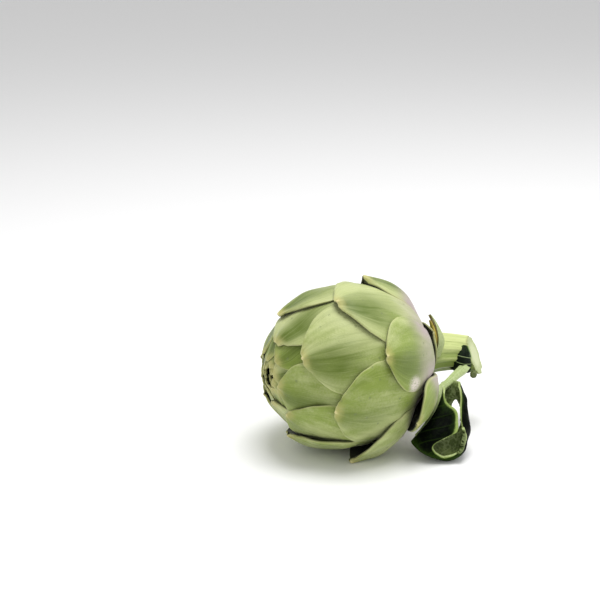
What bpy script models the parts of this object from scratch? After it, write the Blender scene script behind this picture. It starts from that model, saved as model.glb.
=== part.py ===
"""A globe artichoke lying on its side: its head of overlapping bracts, its cut stem and one curled stem leaf.

Units are metres. The head's axis lies along X with the apex towards -X and the cut stem towards +X. The
artichoke lies on the plane Z = 0, and the origin is the centre of the flat spot under its head. Longitude on the
head is 0 at the top and 270 degrees on the -Y side.
"""

import math
import random

import bmesh
import bpy
from mathutils import Vector

# The head
HEAD_RADIUS = 0.0485
HEAD_CENTRE = Vector((-0.0010, 0.0138, 0.0476))
APEX_RISE = math.radians(1.5)
APEX_DRAW = 0.03
BASE_SWELL = 0.07
# The head is flatter at the lower front of its base, round this direction
DENT_TOWARDS = Vector((0.6617, -0.6216, -0.4190))
DENT_DEPTH = 0.0040
DENT_WIDTH = 0.32
CORE_DEPTH = 0.011
CORE_RINGS = 14

# The spiral that the bracts grow in, counted from the lowest large bract up to the apex
FIRST_BRACT = -2
LAST_BRACT = 36
GOLDEN_ANGLE = math.radians(137.508)
SPIRAL_START = math.radians(322.0)
POLAR_END = 4.2
POLAR_SPAN = 118.8
POLAR_COUNT = 10.8
POLAR_POWER = 1.4
LOWEST_POLARS = {-2: 152.0, -1: 148.0, 0: 152.0, 1: 124.0}

# One bract
FULL_HALF_WIDTH = 0.0295
WIDTH_POLAR = 20.0
WIDTH_POWER = 1.35
LOW_NARROWING = 0.20
SMALL_BASE_SHARE = {-2: 0.50, -1: 0.55, 0: 0.62, 1: 0.95}
BASE_PRESS = 0.0011
BRACT_LENGTH = 0.062
STEM_MARGIN = 0.012
TIP_RISE = 0.0013
SINK = 0.0042
SINK_LENGTH = 0.028
BLADE = 0.0014
ROOT_RADIUS = 0.027
TIP_SHARE = 0.20
DOME_POWER = 2.7
NOTCH_SHARE = 0.060
SHOULDER_SHARE = 0.055
LOBE_BULGE = 0.0004
TIGHT_FREE = 0.008
ROOT_RAMP = 0.007
FLARE_POWER = 2.6
BRACT_COLUMNS = 8
BRACT_ROWS = 7
FIRST_SMALL_BRACT = 19
SMALL_COLUMNS = 6
SMALL_ROWS = 5
ROW_CROWDING = 1.6
SEED = 11

# Bracts that stand a little out of the spiral: turned round the axis and moved down from the apex in degrees,
# and how far the tip stands off the head, and over what length
SET_OUT = {
    2: (10, -5, 0.0064, 0.042), 3: (-6, -3, 0.0018, 0.044), 4: (0, -2, 0.0015, 0.038),
    5: (5, -2, 0.0006, 0.020), 7: (7, 3, 0.0055, 0.050), 8: (-3, 2, 0.0014, 0.024),
    10: (0, 1, 0.0008, 0.020), 11: (-12, -7, 0.0014, 0.034), 12: (17, -2, 0.0030, 0.034),
    13: (-3, -3, 0.0005, 0.014), 15: (-3, -3, 0.0009, 0.018), 16: (-6, -3, 0.0004, 0.012),
    18: (-13, -6, 0.0004, 0.010),
}
# Bracts that are broader or narrower, that have slimmer tips, and whose margins are pressed back on the head
BROADER = {2: 0.80, 3: 0.65, 5: 0.93, 8: 1.18, 10: 1.06, 13: 1.14, 15: 1.15, 16: 1.06}
SLIM_TIP_SHARES = {2: 0.05, 3: 0.10, 7: 0.13, 11: 0.13}
CUPS = {2: 0.9, 3: 1.15, 7: 0.8}
EVENLY_CUPPED = 3
# Bracts whose middle is lifted, and whose root lies aside, as a share of the length from the tip
BULGES = {2: 0.0034, 3: 0.0030}
BULGE_PLACE = 0.024
BULGE_REACH = 0.014
LEANS = {2: -0.2}

# The stem, along its own curve from inside the head
STEM_PATH = [Vector((0.0385, 0.0, 0.0)), Vector((0.0590, -0.0002, -0.0014)),
             Vector((0.0745, -0.0035, -0.0035)), Vector((0.0900, -0.0130, -0.0072))]
STEM_RADII = [0.0132, 0.0112, 0.0102, 0.0106]
STEM_RIBS = 11
STEM_RIB_HEIGHT = 0.0005
STEM_SIDES = 44
STEM_RINGS = 9
CUT_POINT = Vector((0.0800, -0.0068, -0.0045))
CUT_NORMAL = Vector((0.70, -0.62, 0.35)).normalized()
SEAT_GAP = 0.0003

# The small bract at the top of the stem, rolled round a hollow on the head's side
STEM_BRACT_PATH = [Vector((0.0545, -0.0095, 0.0000)), Vector((0.0567, -0.0100, 0.0085)),
                   Vector((0.0553, -0.0070, 0.0165)), Vector((0.0512, -0.0030, 0.0242))]
STEM_BRACT_WIDTHS = [0.0085, 0.0088, 0.0062, 0.0008]
STEM_BRACT_CURLS = [math.radians(a) for a in (75, 70, 58, 30)]
STEM_BRACT_HOLLOW = Vector((0.030, 0.0, 0.010))
STEM_BRACT_THICK = 0.0012

# The stem leaf hangs from a short stalk and is rolled to a pouch that rests on the ground. It is laid out in a
# frame of its own: sideways, up the pouch and away through it. Heights are measured up the pouch from its foot.
LEAF_FOOT = Vector((0.0349, -0.0468, -0.0482))
LEAF_SIDE = Vector((0.8998, -0.4363, 0.0))
LEAF_RISE = Vector((0.1348, 0.2780, 0.9511))
LEAF_AWAY = Vector((0.4150, 0.8557, -0.3090))
POUCH_HEIGHT = 0.045
POUCH_RADII = [0.0, 0.0036, 0.0090, 0.0135, 0.0163, 0.0159, 0.0124, 0.0092, 0.0068]
POUCH_SHIFTS = [0.0023, 0.0022, 0.0011, -0.0003, -0.0014, 0.0008, 0.0040, 0.0057, 0.0052]
POUCH_DEPTH_SHARE = 0.8
POUCH_LEAN = 0.016
POUCH_CLEAR_OF_HEAD = 0.0553
# The pouch's open rim, as angles from its far side in degrees and heights in millimetres
POUCH_RIM = [(185, 2.9), (150, 4.2), (130, 6.8), (124, 12.1), (135, 17.8), (142, 23.6), (145, 29.3),
             (137, 35.0), (120, 40.8), (90, 43.5), (45, 44.5), (0, 44.5), (-45, 43.7), (-100, 42.5),
             (-150, 39.5), (-173, 33.3), (-203, 28.6), (-209, 22.5), (-208, 17.6), (-197, 15.6), (-176, 12.6),
             (-162, 9.2), (-159, 6.3), (-166, 3.7), (-175, 2.9)]
POUCH_COLUMNS = 48
POUCH_ROWS = 12
POUCH_ROW_CROWDING = 1.4
LEAF_THICK = 0.0010
LEAF_GROUND = 0.0002
LEAF_HOLE = Vector((0.0535, -0.0310, -0.0290))
LEAF_HOLE_SIZE = Vector((0.0032, 0.0095, 0.0085))
STALK_PATH = [Vector((0.0707, -0.0110, -0.0085)), Vector((0.0669, -0.0144, -0.0092)),
              Vector((0.0615, -0.0165, -0.0108)), Vector((0.0539, -0.0201, -0.0132)),
              Vector((0.0476, -0.0229, -0.0149))]
STALK_RADII = [0.0036, 0.0030, 0.0026, 0.0024, 0.0023, 0.0021, 0.0018, 0.0014, 0.0009]
MIDRIB_ANGLE = math.radians(-97)
MIDRIB_HEIGHTS = [0.036, 0.029, 0.022, 0.016]

# The small dark lobe where the stalk leaves the stem, and the bud stub beside it
LOBE_PATH = [Vector((0.0675, -0.0125, -0.0113)), Vector((0.0675, -0.0141, -0.0044)),
             Vector((0.0688, -0.0134, 0.0001)), Vector((0.0706, -0.0109, 0.0040))]
LOBE_WIDTHS = [0.0045, 0.0050, 0.0046, 0.0012]
LOBE_CURLS = [math.radians(a) for a in (60, 65, 65, 40)]
LOBE_HOLLOW = Vector((0.0730, -0.0040, -0.0040))
STUB_CENTRE = Vector((0.0735, -0.0150, -0.0128))
STUB_RADIUS = 0.0021


def clear_scene():
    for obj in list(bpy.data.objects):
        bpy.data.objects.remove(obj)


def smooth_step(value):
    value = min(1.0, max(0.0, value))
    return value * value * (3 - 2 * value)


APEX = Vector((-math.cos(APEX_RISE), 0.0, math.sin(APEX_RISE)))
CROWN = Vector((math.sin(APEX_RISE), 0.0, math.cos(APEX_RISE)))
FAR_SIDE = APEX.cross(CROWN)


def head_direction(polar, longitude):
    """Unit vector from the head's centre, at an angle from the apex and round the axis."""
    ring = CROWN * math.cos(longitude) + FAR_SIDE * math.sin(longitude)
    return APEX * math.cos(polar) + ring * math.sin(polar)


def envelope(direction):
    """Distance from the head's centre to its outer form."""
    towards_apex = direction.dot(APEX)
    ends = APEX_DRAW * max(0.0, towards_apex) ** 2 + BASE_SWELL * max(0.0, -towards_apex) ** 2
    dent = DENT_DEPTH * math.exp(-((direction.angle(DENT_TOWARDS) / DENT_WIDTH) ** 2))
    return HEAD_RADIUS * (1 + ends) - dent


def tip_polar(index):
    """Angle in degrees from the apex at which the bract with this place in the spiral ends."""
    if index in LOWEST_POLARS:
        return LOWEST_POLARS[index]
    return POLAR_END + POLAR_SPAN * math.exp(-((index / POLAR_COUNT) ** POLAR_POWER))


def bract_sizes(index, chance):
    """The place, width, length and looseness of one bract."""
    polar = tip_polar(index)
    share = 1 - math.exp(-((polar / WIDTH_POLAR) ** WIDTH_POWER))
    share *= (1 - LOW_NARROWING * smooth_step((polar - 60) / 45)) * SMALL_BASE_SHARE.get(index, 1.0)
    loose = (0, 0, chance.uniform(0.0001, 0.0006), TIGHT_FREE * (0.4 + 0.6 * share))
    turn, down, flare, free = SET_OUT.get(index, loose)
    polar = math.radians(polar + down)
    to_stem = (math.pi - polar) * HEAD_RADIUS - STEM_MARGIN
    return {
        "polar": polar,
        "longitude": SPIRAL_START + index * GOLDEN_ANGLE + math.radians(turn),
        "half_width": FULL_HALF_WIDTH * share * chance.uniform(0.96, 1.03) * BROADER.get(index, 1.0),
        "tip_share": SLIM_TIP_SHARES.get(index, TIP_SHARE),
        "cup": CUPS.get(index, 0.0),
        "evenly": index == EVENLY_CUPPED,
        "bulge": BULGES.get(index, 0.0),
        "lean": LEANS.get(index, 0.0),
        "length": min(BRACT_LENGTH * (0.45 + 0.55 * share), to_stem),
        "rise": TIP_RISE if index > 0 else TIP_RISE - BASE_PRESS,
        "flare": flare,
        "free": free,
    }


def bract_half_width(bract, along):
    """Half the bract's width at a distance from its tip."""
    full = bract["half_width"]
    widest = 1.08 * full
    tip = bract["tip_share"]
    if along < widest:
        return full * (tip + (1 - tip) * (1 - (1 - along / widest) ** DOME_POWER))
    beyond = (along - widest) / max(bract["length"] - widest, 0.001)
    return full * (1 - 0.45 * smooth_step(beyond))


def bract_point(bract, across, row, inner):
    """A point of the bract's inner or outer face: across from -1 to 1, row from 0 at the tip to 1 at the root."""
    along = bract["length"] * row**ROW_CROWDING
    full = bract["half_width"]
    notch = NOTCH_SHARE * full * math.exp(-((across / 0.25) ** 2))
    shoulder = SHOULDER_SHARE * full * abs(across) ** 3
    fade = max(0.0, 1 - along / (0.30 * full))
    aside = across * bract_half_width(bract, along)
    arc = along + (notch + shoulder) * fade
    sideways = (aside + bract["lean"] * arc) / HEAD_RADIUS
    middle = head_direction(bract["polar"] + arc / HEAD_RADIUS, bract["longitude"])
    turn = FAR_SIDE * math.cos(bract["longitude"]) - CROWN * math.sin(bract["longitude"])
    direction = middle * math.cos(sideways) + turn * math.sin(sideways)
    lobes = math.exp(-(((abs(across) - 0.5) / 0.3) ** 2)) * math.exp(-((arc / (0.35 * full)) ** 2))
    height = bract["rise"] - SINK * (1 - math.exp(-arc / SINK_LENGTH)) + LOBE_BULGE * lobes
    loose = 1 - min(1.0, arc / bract["free"]) ** FLARE_POWER
    pressed = 1 - bract["cup"] * (across if bract["evenly"] else aside / full) ** 2
    bulge = bract["bulge"] * math.exp(-(((arc - BULGE_PLACE) / BULGE_REACH) ** 2))
    height += pressed * (bract["flare"] * loose + bulge)
    distance = envelope(direction) + height
    if inner:
        deep = smooth_step((arc - bract["free"]) / ROOT_RAMP)
        distance = (distance - BLADE) * (1 - deep) + ROOT_RADIUS * deep
    point = HEAD_CENTRE + direction * distance
    point.z = max(point.z, BLADE - SEAT_GAP if inner else -SEAT_GAP)
    return point


def link(obj, collection):
    collection.objects.link(obj)
    return obj


def face_outwards(bm):
    bm.normal_update()
    bmesh.ops.recalc_face_normals(bm, faces=bm.faces)


def mesh_object(name, bm, collection):
    face_outwards(bm)
    mesh = bpy.data.meshes.new(name)
    bm.to_mesh(mesh)
    bm.free()
    return link(bpy.data.objects.new(name, mesh), collection)


def make_bract(index, chance, collection):
    """One bract: a grid extruded into two faces, whose points are then placed on the head."""
    bract = bract_sizes(index, chance)
    bm = bmesh.new()
    small = index >= FIRST_SMALL_BRACT
    columns, rows = (SMALL_COLUMNS, SMALL_ROWS) if small else (BRACT_COLUMNS, BRACT_ROWS)
    bmesh.ops.create_grid(bm, x_segments=columns, y_segments=rows, size=1)
    extruded = bmesh.ops.extrude_face_region(bm, geom=bm.faces[:])["geom"]
    for vert in extruded:
        if isinstance(vert, bmesh.types.BMVert):
            vert.co.z = 1.0
    for vert in bm.verts:
        across, up, inner = vert.co
        vert.co = bract_point(bract, across, (1 + up) / 2, inner > 0.5)
    bmesh.ops.triangulate(bm, faces=bm.faces[:])
    return mesh_object(f"bract_{index:02d}", bm, collection)


def make_core():
    """The fleshy base that the bracts grow from, inside the head."""
    bm = bmesh.new()
    bmesh.ops.create_uvsphere(bm, u_segments=2 * CORE_RINGS, v_segments=CORE_RINGS, radius=1)
    for vert in bm.verts:
        direction = vert.co.normalized()
        vert.co = HEAD_CENTRE + direction * (envelope(direction) - CORE_DEPTH)
    return bm


def apply_boolean(obj, operation, operand, solver="MANIFOLD"):
    """Joins obj with, or cuts it by, an object or each object of a collection, and applies the result."""
    modifier = obj.modifiers.new(operation.title(), "BOOLEAN")
    modifier.operation = operation
    modifier.solver = solver
    if isinstance(operand, bpy.types.Collection):
        modifier.operand_type = "COLLECTION"
        modifier.collection = operand
    else:
        modifier.object = operand
    graph = bpy.context.evaluated_depsgraph_get()
    mesh = bpy.data.meshes.new_from_object(obj.evaluated_get(graph))
    obj.modifiers.clear()
    old = obj.data
    obj.data = mesh
    bpy.data.meshes.remove(old)


def keep_outer_shell(obj):
    """Fills the hollows that joining has sealed and drops scraps: only the largest closed surface stays."""
    bm = bmesh.new()
    bm.from_mesh(obj.data)
    waiting = set(bm.faces)
    shells = []
    while waiting:
        front = [waiting.pop()]
        shell = list(front)
        while front:
            face = front.pop()
            beside = {other for edge in face.edges for other in edge.link_faces} & waiting
            waiting -= beside
            front += beside
            shell += beside
        shells.append(shell)
    shells.sort(key=lambda shell: sum(face.calc_area() for face in shell))
    for shell in shells[:-1]:
        bmesh.ops.delete(bm, geom=shell, context="FACES")
    bm.to_mesh(obj.data)
    bm.free()


def remove_all(collection):
    for obj in list(collection.objects):
        bpy.data.objects.remove(obj)
    bpy.data.collections.remove(collection)


def curve_between(points, share):
    """A point on the smooth curve through the points, with share from 0 at the first to 1 at the last."""
    place = min(max(share, 0.0), 1.0) * (len(points) - 1)
    index = min(int(place), len(points) - 2)
    t = place - index
    before = points[index - 1] if index > 0 else 2 * points[0] - points[1]
    after = points[index + 2] if index + 2 < len(points) else 2 * points[-1] - points[-2]
    start, end = points[index], points[index + 1]
    return 0.5 * (2 * start + (end - before) * t + (2 * before - 5 * start + 4 * end - after) * t * t
                  + (3 * start - before - 3 * end + after) * t**3)


def value_between(values, share):
    return curve_between([Vector((v, 0, 0)) for v in values], share).x


def direction_along(points, share, step=0.01):
    return (curve_between(points, share + step) - curve_between(points, share - step)).normalized()


def stem_point(angle, share, extra=0.0):
    """A point on the ribbed side of the stem, pushed out by extra."""
    centre = curve_between(STEM_PATH, share)
    forward = direction_along(STEM_PATH, share)
    side = forward.cross(Vector((0, 0, 1))).normalized()
    up = side.cross(forward)
    radius = value_between(STEM_RADII, share) + STEM_RIB_HEIGHT * math.cos(STEM_RIBS * angle) + extra
    return HEAD_CENTRE + centre + (side * math.cos(angle) + up * math.sin(angle)) * radius


def make_stem_tube(name, collection, extra=0.0, first=0.0):
    """The stem as a closed tube: a cylinder with rings, bent along the stem's curve."""
    bm = bmesh.new()
    bmesh.ops.create_cone(bm, cap_ends=True, segments=STEM_SIDES, radius1=1, radius2=1, depth=1)
    upright = [edge for edge in bm.edges if abs(edge.verts[0].co.z - edge.verts[1].co.z) > 0.5]
    bmesh.ops.subdivide_edges(bm, edges=upright, cuts=STEM_RINGS)
    for vert in bm.verts:
        share = first + (1 - first) * (vert.co.z + 0.5)
        vert.co = stem_point(math.atan2(vert.co.y, vert.co.x), share, extra)
    return mesh_object(name, bm, collection)


def cut_stem_end(stem):
    """Trims the stem along the slanting plane of the knife cut, and closes it."""
    bm = bmesh.new()
    bm.from_mesh(stem.data)
    geometry = bm.verts[:] + bm.edges[:] + bm.faces[:]
    knife = HEAD_CENTRE + CUT_POINT
    bmesh.ops.bisect_plane(bm, geom=geometry, plane_co=knife, plane_no=CUT_NORMAL, clear_outer=True)
    bmesh.ops.holes_fill(bm, edges=[edge for edge in bm.edges if edge.is_boundary])
    face_outwards(bm)
    bm.to_mesh(stem.data)
    bm.free()


def blade_point(path, widths, curls, hollow, across, share):
    """A point of a blade that rolls round a hollow: across from -1 to 1, share from its base to its tip."""
    middle = curve_between(path, share)
    forward = direction_along(path, share)
    inwards = hollow - middle
    inwards = (inwards - forward * inwards.dot(forward)).normalized()
    side = forward.cross(inwards)
    curl = value_between(curls, share)
    radius = value_between(widths, share) / curl
    angle = across * curl
    return HEAD_CENTRE + middle + side * radius * math.sin(angle) + inwards * radius * (1 - math.cos(angle))


def pouch_point(angle, height):
    """A point of the rolled leaf, kept off the head: the angle is from its far side, the height from its foot."""
    share = math.sqrt(min(1.0, max(0.0, height / POUCH_HEIGHT)))
    radius = value_between(POUCH_RADII, share)
    sideways = value_between(POUCH_SHIFTS, share) + radius * math.sin(angle)
    away = POUCH_LEAN * share**2.4 + POUCH_DEPTH_SHARE * radius * math.cos(angle)
    point = LEAF_FOOT + LEAF_SIDE * sideways + LEAF_RISE * height + LEAF_AWAY * away
    return point * max(1.0, POUCH_CLEAR_OF_HEAD / point.length)


def pouch_place(column, row):
    """The angle and height of a place on the rolled leaf: column round it, row from foot to rim, 0 to 1."""
    rim_angle, rim_height, _ = curve_between([Vector((a, h, 0)) for a, h in POUCH_RIM], column)
    start_angle = 185 - 360 * column
    angle = start_angle + (rim_angle - start_angle) * row**2
    return math.radians(angle), rim_height / 1000 * row**POUCH_ROW_CROWDING


def solidified(name, bm, collection, thick):
    """Triangles alike on both faces: the open mesh gets its thickness behind its normals."""
    bmesh.ops.triangulate(bm, faces=bm.faces[:])
    mesh = bpy.data.meshes.new(name)
    bm.to_mesh(mesh)
    bm.free()
    obj = link(bpy.data.objects.new(name, mesh), collection)
    solidify = obj.modifiers.new("Thickness", "SOLIDIFY")
    solidify.thickness = thick
    solidify.offset = -1
    return baked(obj)


def make_blade(name, path, widths, curls, hollow, collection, columns, rows, thick):
    """A thin rolled blade with its thickness away from the hollow."""
    bm = bmesh.new()
    bmesh.ops.create_grid(bm, x_segments=columns, y_segments=rows, size=1)
    for vert in bm.verts:
        vert.co = blade_point(path, widths, curls, hollow, vert.co.x, (1 + vert.co.y) / 2)
    return solidified(name, bm, collection, thick)


def make_pouch(collection):
    """The rolled blade of the stem leaf: a grid wrapped from its foot to its rim."""
    bm = bmesh.new()
    bmesh.ops.create_grid(bm, x_segments=POUCH_COLUMNS, y_segments=POUCH_ROWS, size=1)
    for vert in bm.verts:
        angle, height = pouch_place((1 + vert.co.x) / 2, (1 + vert.co.y) / 2)
        vert.co = HEAD_CENTRE + pouch_point(angle, height)
        vert.co.z = max(vert.co.z, LEAF_GROUND)
    bmesh.ops.remove_doubles(bm, verts=bm.verts[:], dist=0.00001)
    face_outwards(bm)
    side = max(bm.faces, key=lambda face: face.calc_center_median().dot(LEAF_SIDE))
    if side.normal.dot(LEAF_SIDE) < 0:
        bmesh.ops.reverse_faces(bm, faces=bm.faces)
    return solidified("pouch", bm, collection, LEAF_THICK)


def make_ball(name, collection, centre, size):
    """A small ball, or an egg shape in the leaf's frame when the three sizes differ."""
    bm = bmesh.new()
    bmesh.ops.create_uvsphere(bm, u_segments=20, v_segments=12, radius=1)
    for vert in bm.verts:
        across, up, away = vert.co
        offset = LEAF_SIDE * across * size.x + LEAF_RISE * up * size.y + LEAF_AWAY * away * size.z
        vert.co = HEAD_CENTRE + centre + offset
    return mesh_object(name, bm, collection)


def baked(obj):
    """Applies an object's modifiers, or turns a curve into a mesh with its caps welded."""
    graph = bpy.context.evaluated_depsgraph_get()
    mesh = bpy.data.meshes.new_from_object(obj.evaluated_get(graph))
    bm = bmesh.new()
    bm.from_mesh(mesh)
    bmesh.ops.remove_doubles(bm, verts=bm.verts[:], dist=0.00001)
    face_outwards(bm)
    bm.to_mesh(mesh)
    bm.free()
    new = bpy.data.objects.new(obj.name, mesh)
    new.matrix_world = obj.matrix_world
    for collection in obj.users_collection:
        collection.objects.link(new)
    name = obj.name
    bpy.data.objects.remove(obj)
    new.name = name
    return new


def make_tube(name, path, radii, collection, steps=14):
    """A tapered tube along a smooth curve, such as a leaf's stalk."""
    data = bpy.data.curves.new(name, "CURVE")
    data.dimensions = "3D"
    data.bevel_depth = 1.0
    data.bevel_resolution = 3
    data.use_fill_caps = True
    spline = data.splines.new("POLY")
    spline.points.add(steps - 1)
    for i, point in enumerate(spline.points):
        share = i / (steps - 1)
        point.co = (HEAD_CENTRE + curve_between(path, share)).to_4d()
        point.radius = value_between(radii, share)
    return baked(link(bpy.data.objects.new(name, data), collection))


def make_material(name, colour, roughness):
    material = bpy.data.materials.new(name)
    material.use_nodes = True
    shader = material.node_tree.nodes["Principled BSDF"]
    shader.inputs["Base Color"].default_value = (*colour, 1)
    shader.inputs["Roughness"].default_value = roughness
    shader.inputs["Metallic"].default_value = 0
    return material


def finish(obj, material, angle=35):
    obj.data.materials.clear()
    obj.data.materials.append(material)
    obj.data.shade_smooth()
    obj.data.set_sharp_from_angle(angle=math.radians(angle))


def new_collection(name, parent=None):
    collection = bpy.data.collections.new(name)
    (parent or bpy.context.scene.collection).children.link(collection)
    return collection


def make_ground_cutter(collection):
    """A slab whose top is the plane that the artichoke lies on."""
    bm = bmesh.new()
    bmesh.ops.create_cube(bm, size=0.4)
    bmesh.ops.translate(bm, verts=bm.verts, vec=(0, 0, -0.2))
    return mesh_object("ground_cutter", bm, collection)


def make_head(artichoke, cutters):
    """The head: all the bracts and the core joined in one solid, seated on the stem and on the ground."""
    chance = random.Random(SEED)
    bracts = new_collection("bracts", cutters)
    for index in range(FIRST_BRACT, LAST_BRACT + 1):
        make_bract(index, chance, bracts)
    head = mesh_object("head", make_core(), artichoke)
    apply_boolean(head, "UNION", bracts)
    remove_all(bracts)
    keep_outer_shell(head)
    seat = make_stem_tube("stem_seat", cutters, extra=SEAT_GAP + STEM_RIB_HEIGHT)
    apply_boolean(head, "DIFFERENCE", seat)
    apply_boolean(head, "DIFFERENCE", make_ground_cutter(cutters))
    keep_outer_shell(head)
    return head


def make_stem(artichoke, cutters):
    """The cut stem with the small bract at its top."""
    stem = make_stem_tube("stem", artichoke, first=0.01)
    cut_stem_end(stem)
    bract = make_blade("stem_bract", STEM_BRACT_PATH, STEM_BRACT_WIDTHS, STEM_BRACT_CURLS, STEM_BRACT_HOLLOW,
                       cutters, 8, 8, STEM_BRACT_THICK)
    apply_boolean(stem, "UNION", bract)
    bpy.data.objects.remove(bract)
    return stem


def make_leaf(artichoke, cutters):
    """The stem leaf: stalk with midrib, rolled blade, and the small lobe and stub at its foot."""
    midrib = [pouch_point(MIDRIB_ANGLE, height) for height in MIDRIB_HEIGHTS]
    leaf = make_tube("leaf", STALK_PATH + midrib, STALK_RADII, artichoke, steps=26)
    pieces = new_collection("leaf_pieces", cutters)
    make_pouch(pieces)
    make_blade("foot_lobe", LOBE_PATH, LOBE_WIDTHS, LOBE_CURLS, LOBE_HOLLOW, pieces, 8, 8, LEAF_THICK)
    make_ball("stub", pieces, STUB_CENTRE, Vector((STUB_RADIUS, STUB_RADIUS, STUB_RADIUS)))
    apply_boolean(leaf, "UNION", pieces)
    remove_all(pieces)
    apply_boolean(leaf, "DIFFERENCE", make_ball("leaf_gap", cutters, LEAF_HOLE, LEAF_HOLE_SIZE))
    clearance = make_stem_tube("stem_clearance", cutters, extra=SEAT_GAP + STEM_RIB_HEIGHT)
    apply_boolean(leaf, "DIFFERENCE", clearance)
    keep_outer_shell(leaf)
    return leaf


def main():
    clear_scene()
    artichoke = new_collection("artichoke")
    cutters = new_collection("cutters")
    head = make_head(artichoke, cutters)
    stem = make_stem(artichoke, cutters)
    leaf = make_leaf(artichoke, cutters)
    for cutter in cutters.objects:
        cutter.hide_render = True
        cutter.display_type = "WIRE"
    finish(head, make_material("bract_green", (0.36, 0.47, 0.19), 0.55))
    finish(stem, make_material("stem_green", (0.50, 0.60, 0.25), 0.5))
    finish(leaf, make_material("leaf_green", (0.05, 0.12, 0.03), 0.4))


main()
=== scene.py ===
"""A globe artichoke lying on its side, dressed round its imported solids.

The head of overlapping bracts, the cut stem and the rolled stem leaf are laid out again from the sizes that
their solids have, as fine thin meshes, and every finish is worked out in nodes. Lengths are metres and angles
radians, unless a name says otherwise. The head's axis lies along X with the apex towards -X, and Z = 0 is the
ground.
"""

import logging
import math
import random
from collections.abc import Sequence
from dataclasses import dataclass, field
from enum import Enum

import bmesh
import bpy
import numpy as np
from mathutils import Matrix, Vector


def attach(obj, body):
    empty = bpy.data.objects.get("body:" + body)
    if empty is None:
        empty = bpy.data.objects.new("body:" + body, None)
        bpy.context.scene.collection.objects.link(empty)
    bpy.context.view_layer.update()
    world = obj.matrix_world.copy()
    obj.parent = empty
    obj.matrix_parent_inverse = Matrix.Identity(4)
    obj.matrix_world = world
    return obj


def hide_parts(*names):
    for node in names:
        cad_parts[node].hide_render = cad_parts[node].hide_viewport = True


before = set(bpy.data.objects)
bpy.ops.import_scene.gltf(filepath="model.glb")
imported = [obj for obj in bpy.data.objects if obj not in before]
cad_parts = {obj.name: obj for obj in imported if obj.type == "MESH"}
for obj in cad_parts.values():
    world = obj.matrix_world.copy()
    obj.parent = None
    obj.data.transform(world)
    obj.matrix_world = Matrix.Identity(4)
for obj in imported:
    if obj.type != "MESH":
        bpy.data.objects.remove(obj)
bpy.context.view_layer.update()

BODY = "root"
MILLI = 1000.0
FULL_TURN = 2 * math.pi
UPWARDS = np.array([0.0, 0.0, 1.0])
CRISP_ANGLE = math.radians(55.0)
RIPPLE_TURNS = 1.3
RIPPLE_EVENING = 1.4

Array = np.ndarray
Colour = tuple[float, float, float]
Point = tuple[float, float, float]
Band = tuple[float, float]

log = logging.getLogger("artichoke")


class Slot(Enum):
    """Names of material slots for the bracts, the stem and the leaf; no piece takes its finish from them."""

    BRACTS = "bracts"
    STEM = "stem"
    LEAF = "leaf"


class Layer(Enum):
    """Which finish a face of a rolled blade takes, by its side of the blade."""

    FRONT = 0
    BACK = 1
    EDGE = 2


# Curves and ripples


def smooth_step(value: Array | float) -> Array:
    """Ease from 0 to 1 as the value goes from 0 to 1.

    Args:
        value: Any numbers; those outside 0 to 1 are held at the nearer end.

    Returns:
        The eased numbers.
    """
    held = np.clip(value, 0.0, 1.0)
    return held * held * (3 - 2 * held)


def bell(value: Array | float, width: float) -> Array:
    """A bump of height 1 at 0 that dies away over the width."""
    return np.exp(-((np.asarray(value) / width) ** 2))


def curve_between(points: Sequence, share: Array | float) -> Array:
    """Follow the smooth curve through some points.

    Args:
        points: The points or numbers that the curve passes through, evenly shared out.
        share: How far along, from 0 at the first point to 1 at the last.

    Returns:
        A point of the curve for each share, or a number where the points are numbers.
    """
    through = np.asarray(points, float)
    flat = through.ndim == 1
    if flat:
        through = through[:, None]
    padded = np.vstack([2 * through[:1] - through[1:2], through, 2 * through[-1:] - through[-2:-1]])
    place = np.clip(np.asarray(share, float), 0, 1) * (len(through) - 1)
    index = np.minimum(place.astype(int), len(through) - 2)
    part = (place - index)[..., None]
    before, start, end, after = (padded[index + k] for k in range(4))
    curve = 0.5 * (2 * start + (end - before) * part + (2 * before - 5 * start + 4 * end - after) * part**2
                   + (3 * start - before - 3 * end + after) * part**3)
    return curve[..., 0] if flat else curve


def direction_along(points: Sequence, share: Array, step: float = 0.01) -> Array:
    """Unit vectors along the curve through the points at these shares of it."""
    return unit(curve_between(points, share + step) - curve_between(points, share - step))


def unit(vectors: Array) -> Array:
    """The same directions with length 1."""
    return vectors / np.maximum(np.linalg.norm(vectors, axis=-1, keepdims=True), 1e-12)


def dot(one: Array, other: Array) -> Array:
    """Dot products of matching vectors."""
    return (one * other).sum(-1)


def ripple(seed: int, *coordinates: Array, waves: int = 7) -> Array:
    """Make gentle irregular waves over a surface.

    Args:
        seed: Chooses the waves.
        coordinates: The surface's coordinates, scaled so that one wave is about 1 long.
        waves: How many sine waves are added up.

    Returns:
        Heights between about -1 and 1.
    """
    chance = random.Random(seed)
    total = np.zeros(np.broadcast(*coordinates).shape)
    for _ in range(waves):
        phase = chance.uniform(0, FULL_TURN)
        for coordinate in coordinates:
            phase = phase + coordinate * chance.uniform(-RIPPLE_TURNS, RIPPLE_TURNS) * FULL_TURN
        total = total + np.sin(phase)
    return total / math.sqrt(waves) / RIPPLE_EVENING


# Meshes


def lattice(rows: int, columns: int, down: Band = (0, 1), over: Band = (0, 1)) -> Sequence[Array]:
    """Spread two coordinates evenly over the points of a grid.

    Args:
        rows: Rows of faces.
        columns: Faces in each row.
        down: The first coordinate in the first and the last row.
        over: The other coordinate in the first and the last column.

    Returns:
        Both coordinates of every point.
    """
    return np.meshgrid(np.linspace(*down, rows + 1), np.linspace(*over, columns + 1), indexing="ij")


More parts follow.
